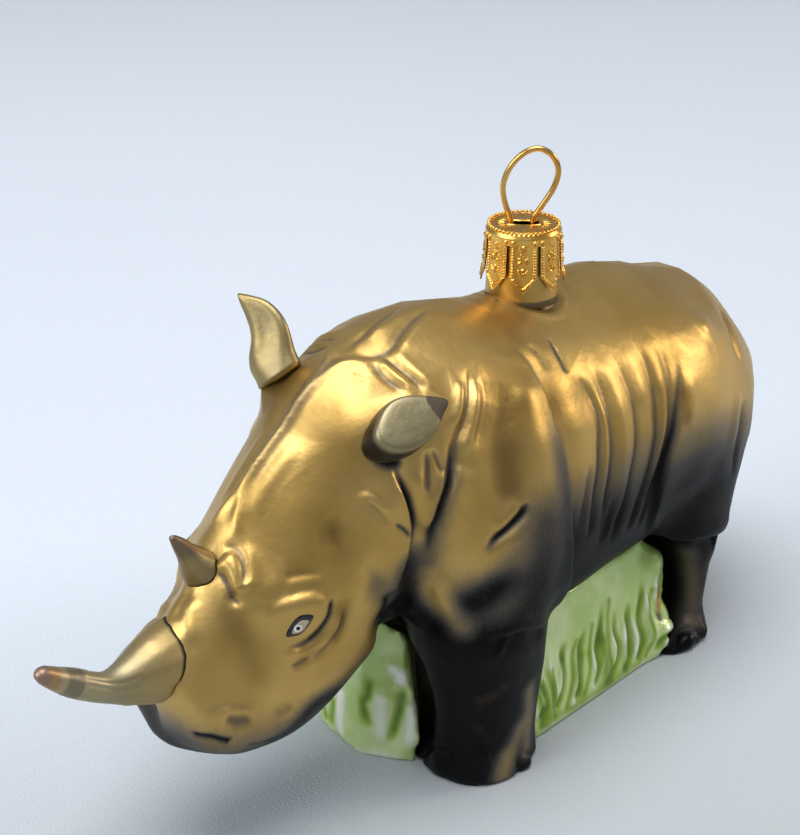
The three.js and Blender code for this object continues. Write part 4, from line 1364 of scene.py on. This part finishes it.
def petal(middle):
    def place(u, v):
        down = v * (PETAL_LENGTH - 0.03)  # just short of its point, where all its points would be one
        half = widest * np.clip((PETAL_LENGTH - down) / (PETAL_LENGTH - PETAL_STRAIGHT), 0, 1)
        across = (2 * u - 1) * half
        flare = FLARE * np.clip(down / 7, 0, 1) ** 1.5
        radius = CAP_RADIUS + SKIRT_OUT + flare + stamp(across, down)
        angle = middle + across / CAP_RADIUS
        return np.array((radius * np.cos(angle), radius * np.sin(angle), SKIRT_TOP - down)).T
    return sheet("petal", *PETAL_GRID, place)


def cap_top(u, v):
    """The disc from the slot out to its edge, and the shoulder down to the petals."""
    angle = 2 * math.pi * u
    way = np.array((np.cos(angle), np.sin(angle)))
    slot = np.min(np.array(SLOT_HALF)[:, None] / np.maximum(np.abs(way), 1e-6), axis=0)
    disc = slot + (DISC_RADIUS - slot) * np.clip(v / DISC_EDGE, 0, 1)
    rim = np.interp(v, [DISC_EDGE, SHOULDER_FROM], [DISC_RADIUS, SHOULDER_RADIUS])
    radius = np.where(v < DISC_EDGE, disc, rim)
    radius = np.where(v > SHOULDER_FROM, np.interp(v, *zip(*TOP_RADII)), radius)
    height = CAP_TOP + np.interp(v, *zip(*TOP_HEIGHTS))
    rays = np.cos(RAYS * angle) * ridge(2 * (radius - RAYS_AT), RAYS_WIDE)
    height += RAYS_HIGH * rays + HOOP_HIGH * ridge(radius - HOOP_AT, HOOP_WIDE)
    turn = angle + SLOT_TURN
    return np.array((radius * np.cos(turn), radius * np.sin(turn), height)).T


def bead(angle, out, height, radius):
    place = Vector((out * math.cos(angle), out * math.sin(angle), height)) * MM
    bpy.ops.mesh.primitive_uv_sphere_add(segments=10, ring_count=6, radius=radius * MM, location=place)
    return bpy.context.object


sheets = [petal(PETAL_TURN + i * pitch) for i in range(PETAL_COUNT)]
sheets.append(sheet("cap_top", *TOP_GRID, cap_top))
beads = [
    bead(2 * math.pi * i / RIM_BEADS, RIM_AT[0], CAP_TOP + RIM_AT[1], RIM_BEAD)
    for i in range(RIM_BEADS)
]
for i in range(PETAL_COUNT):
    slit = PETAL_TURN + (i + 0.5) * pitch
    for side in (-1, 1):
        beads.append(bead(slit + side * SLIT_ASIDE, CAP_RADIUS, SKIRT_TOP + SLIT_AT, SLIT_BEAD))
for piece in sheets:
    edit(piece, remove_doubles={"threshold": WELD}, normals_make_consistent={"inside": False})
    outward = read(piece, "normal") * (read(piece) - np.array((0, 0, 66)) * MM)
    if outward.sum() < 0:
        piece.data.flip_normals()
    modify(piece, "SOLIDIFY", thickness=SHEET * MM, offset=-1)
cap = joined(sheets + beads)
cap.name = "crown_cap"
bpy.ops.object.transform_apply()
bpy.ops.object.shade_smooth_by_angle(angle=CREASE)
gilt = Finish("gilt_brass", Metallic=1.0)
spot = gilt.place()
cloudy = gilt.noise(spot, 300.0)
gilt.set(
    Base_Color=gilt.coats("e2a648", (cloudy, 0.3, 0.7, "edbc60")),
    Roughness=0.22 + cloudy * 0.1,
    Normal=gilt.grainy(spot, 1500.0, 0.00005, 2.0),
)
coat(cap, gilt)
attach(cap, "root")
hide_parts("cap")


# ---- Wire hanger ----
# A loop of gilt spring wire, bent round by hand. Its legs run through the slot of the cap and spread in
# the open glass neck, and their spring holds the cap down.
WIRE_MARKS = [
    (511.5, 222.5), (505, 203), (503, 187), (507, 173), (515, 161), (526, 152), (538, 148.5), (549, 152.5),
    (556, 161), (558.5, 171), (556.5, 181), (552.5, 190), (546, 200), (539, 210), (532.5, 221.5),
]
WIRE_RADIUS = 0.42
LEG = [(2.3, 64), (1.7, 70)]  # each leg from its end up to the slot: how far aside, and how high
WIRE_STEP = 0.25 * MM
LOOP_AT, LOOP_WAY = (0, 0, 75), Vector((-math.sin(SLOT_TURN), math.cos(SLOT_TURN), 0))


def leg(side):
    return [
        np.array((side * out * math.cos(SLOT_TURN), side * out * math.sin(SLOT_TURN), high)) * MM
        for out, high in LEG
    ]


bend = [on_plane(mark, LOOP_AT, LOOP_WAY) for mark in WIRE_MARKS]
path = spline([*leg(-1), *bend, *leg(1)[::-1]], WIRE_STEP)
bpy.ops.object.select_all(action="DESELECT")
bpy.ops.curve.primitive_nurbs_path_add()
wire = bpy.context.object
wire.name = "wire_loop"
bpy.ops.object.mode_set(mode="EDIT")
bpy.ops.curve.select_all(action="SELECT")
bpy.ops.curve.delete(type="VERT")
bpy.ops.object.mode_set(mode="OBJECT")
thread = wire.data.splines.new("POLY")
thread.points.add(len(path) - 1)
thread.points.foreach_set("co", np.hstack([path, np.ones((len(path), 1))]).ravel())
wire.data.bevel_depth = WIRE_RADIUS * MM
wire.data.bevel_resolution = 5
wire.data.use_fill_caps = True
choose(wire)
bpy.ops.object.convert(target="MESH")
wire = bpy.context.object
bpy.ops.object.shade_smooth()
drawn = Finish("gilt_wire", Metallic=1.0)
spot = drawn.place()
drawn.set(
    Base_Color=drawn.coats("cf9a45", (drawn.noise(spot, 200.0), 0.3, 0.7, "e0b264")),
    Roughness=0.2 + drawn.noise(spot, 500.0) * 0.12,
)
coat(wire, drawn)
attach(wire, "root")
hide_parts("hanger")

boxes = {"cad": cad_box, "visual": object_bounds()}
{name: [list(corner) for corner in box] for name, box in boxes.items()}
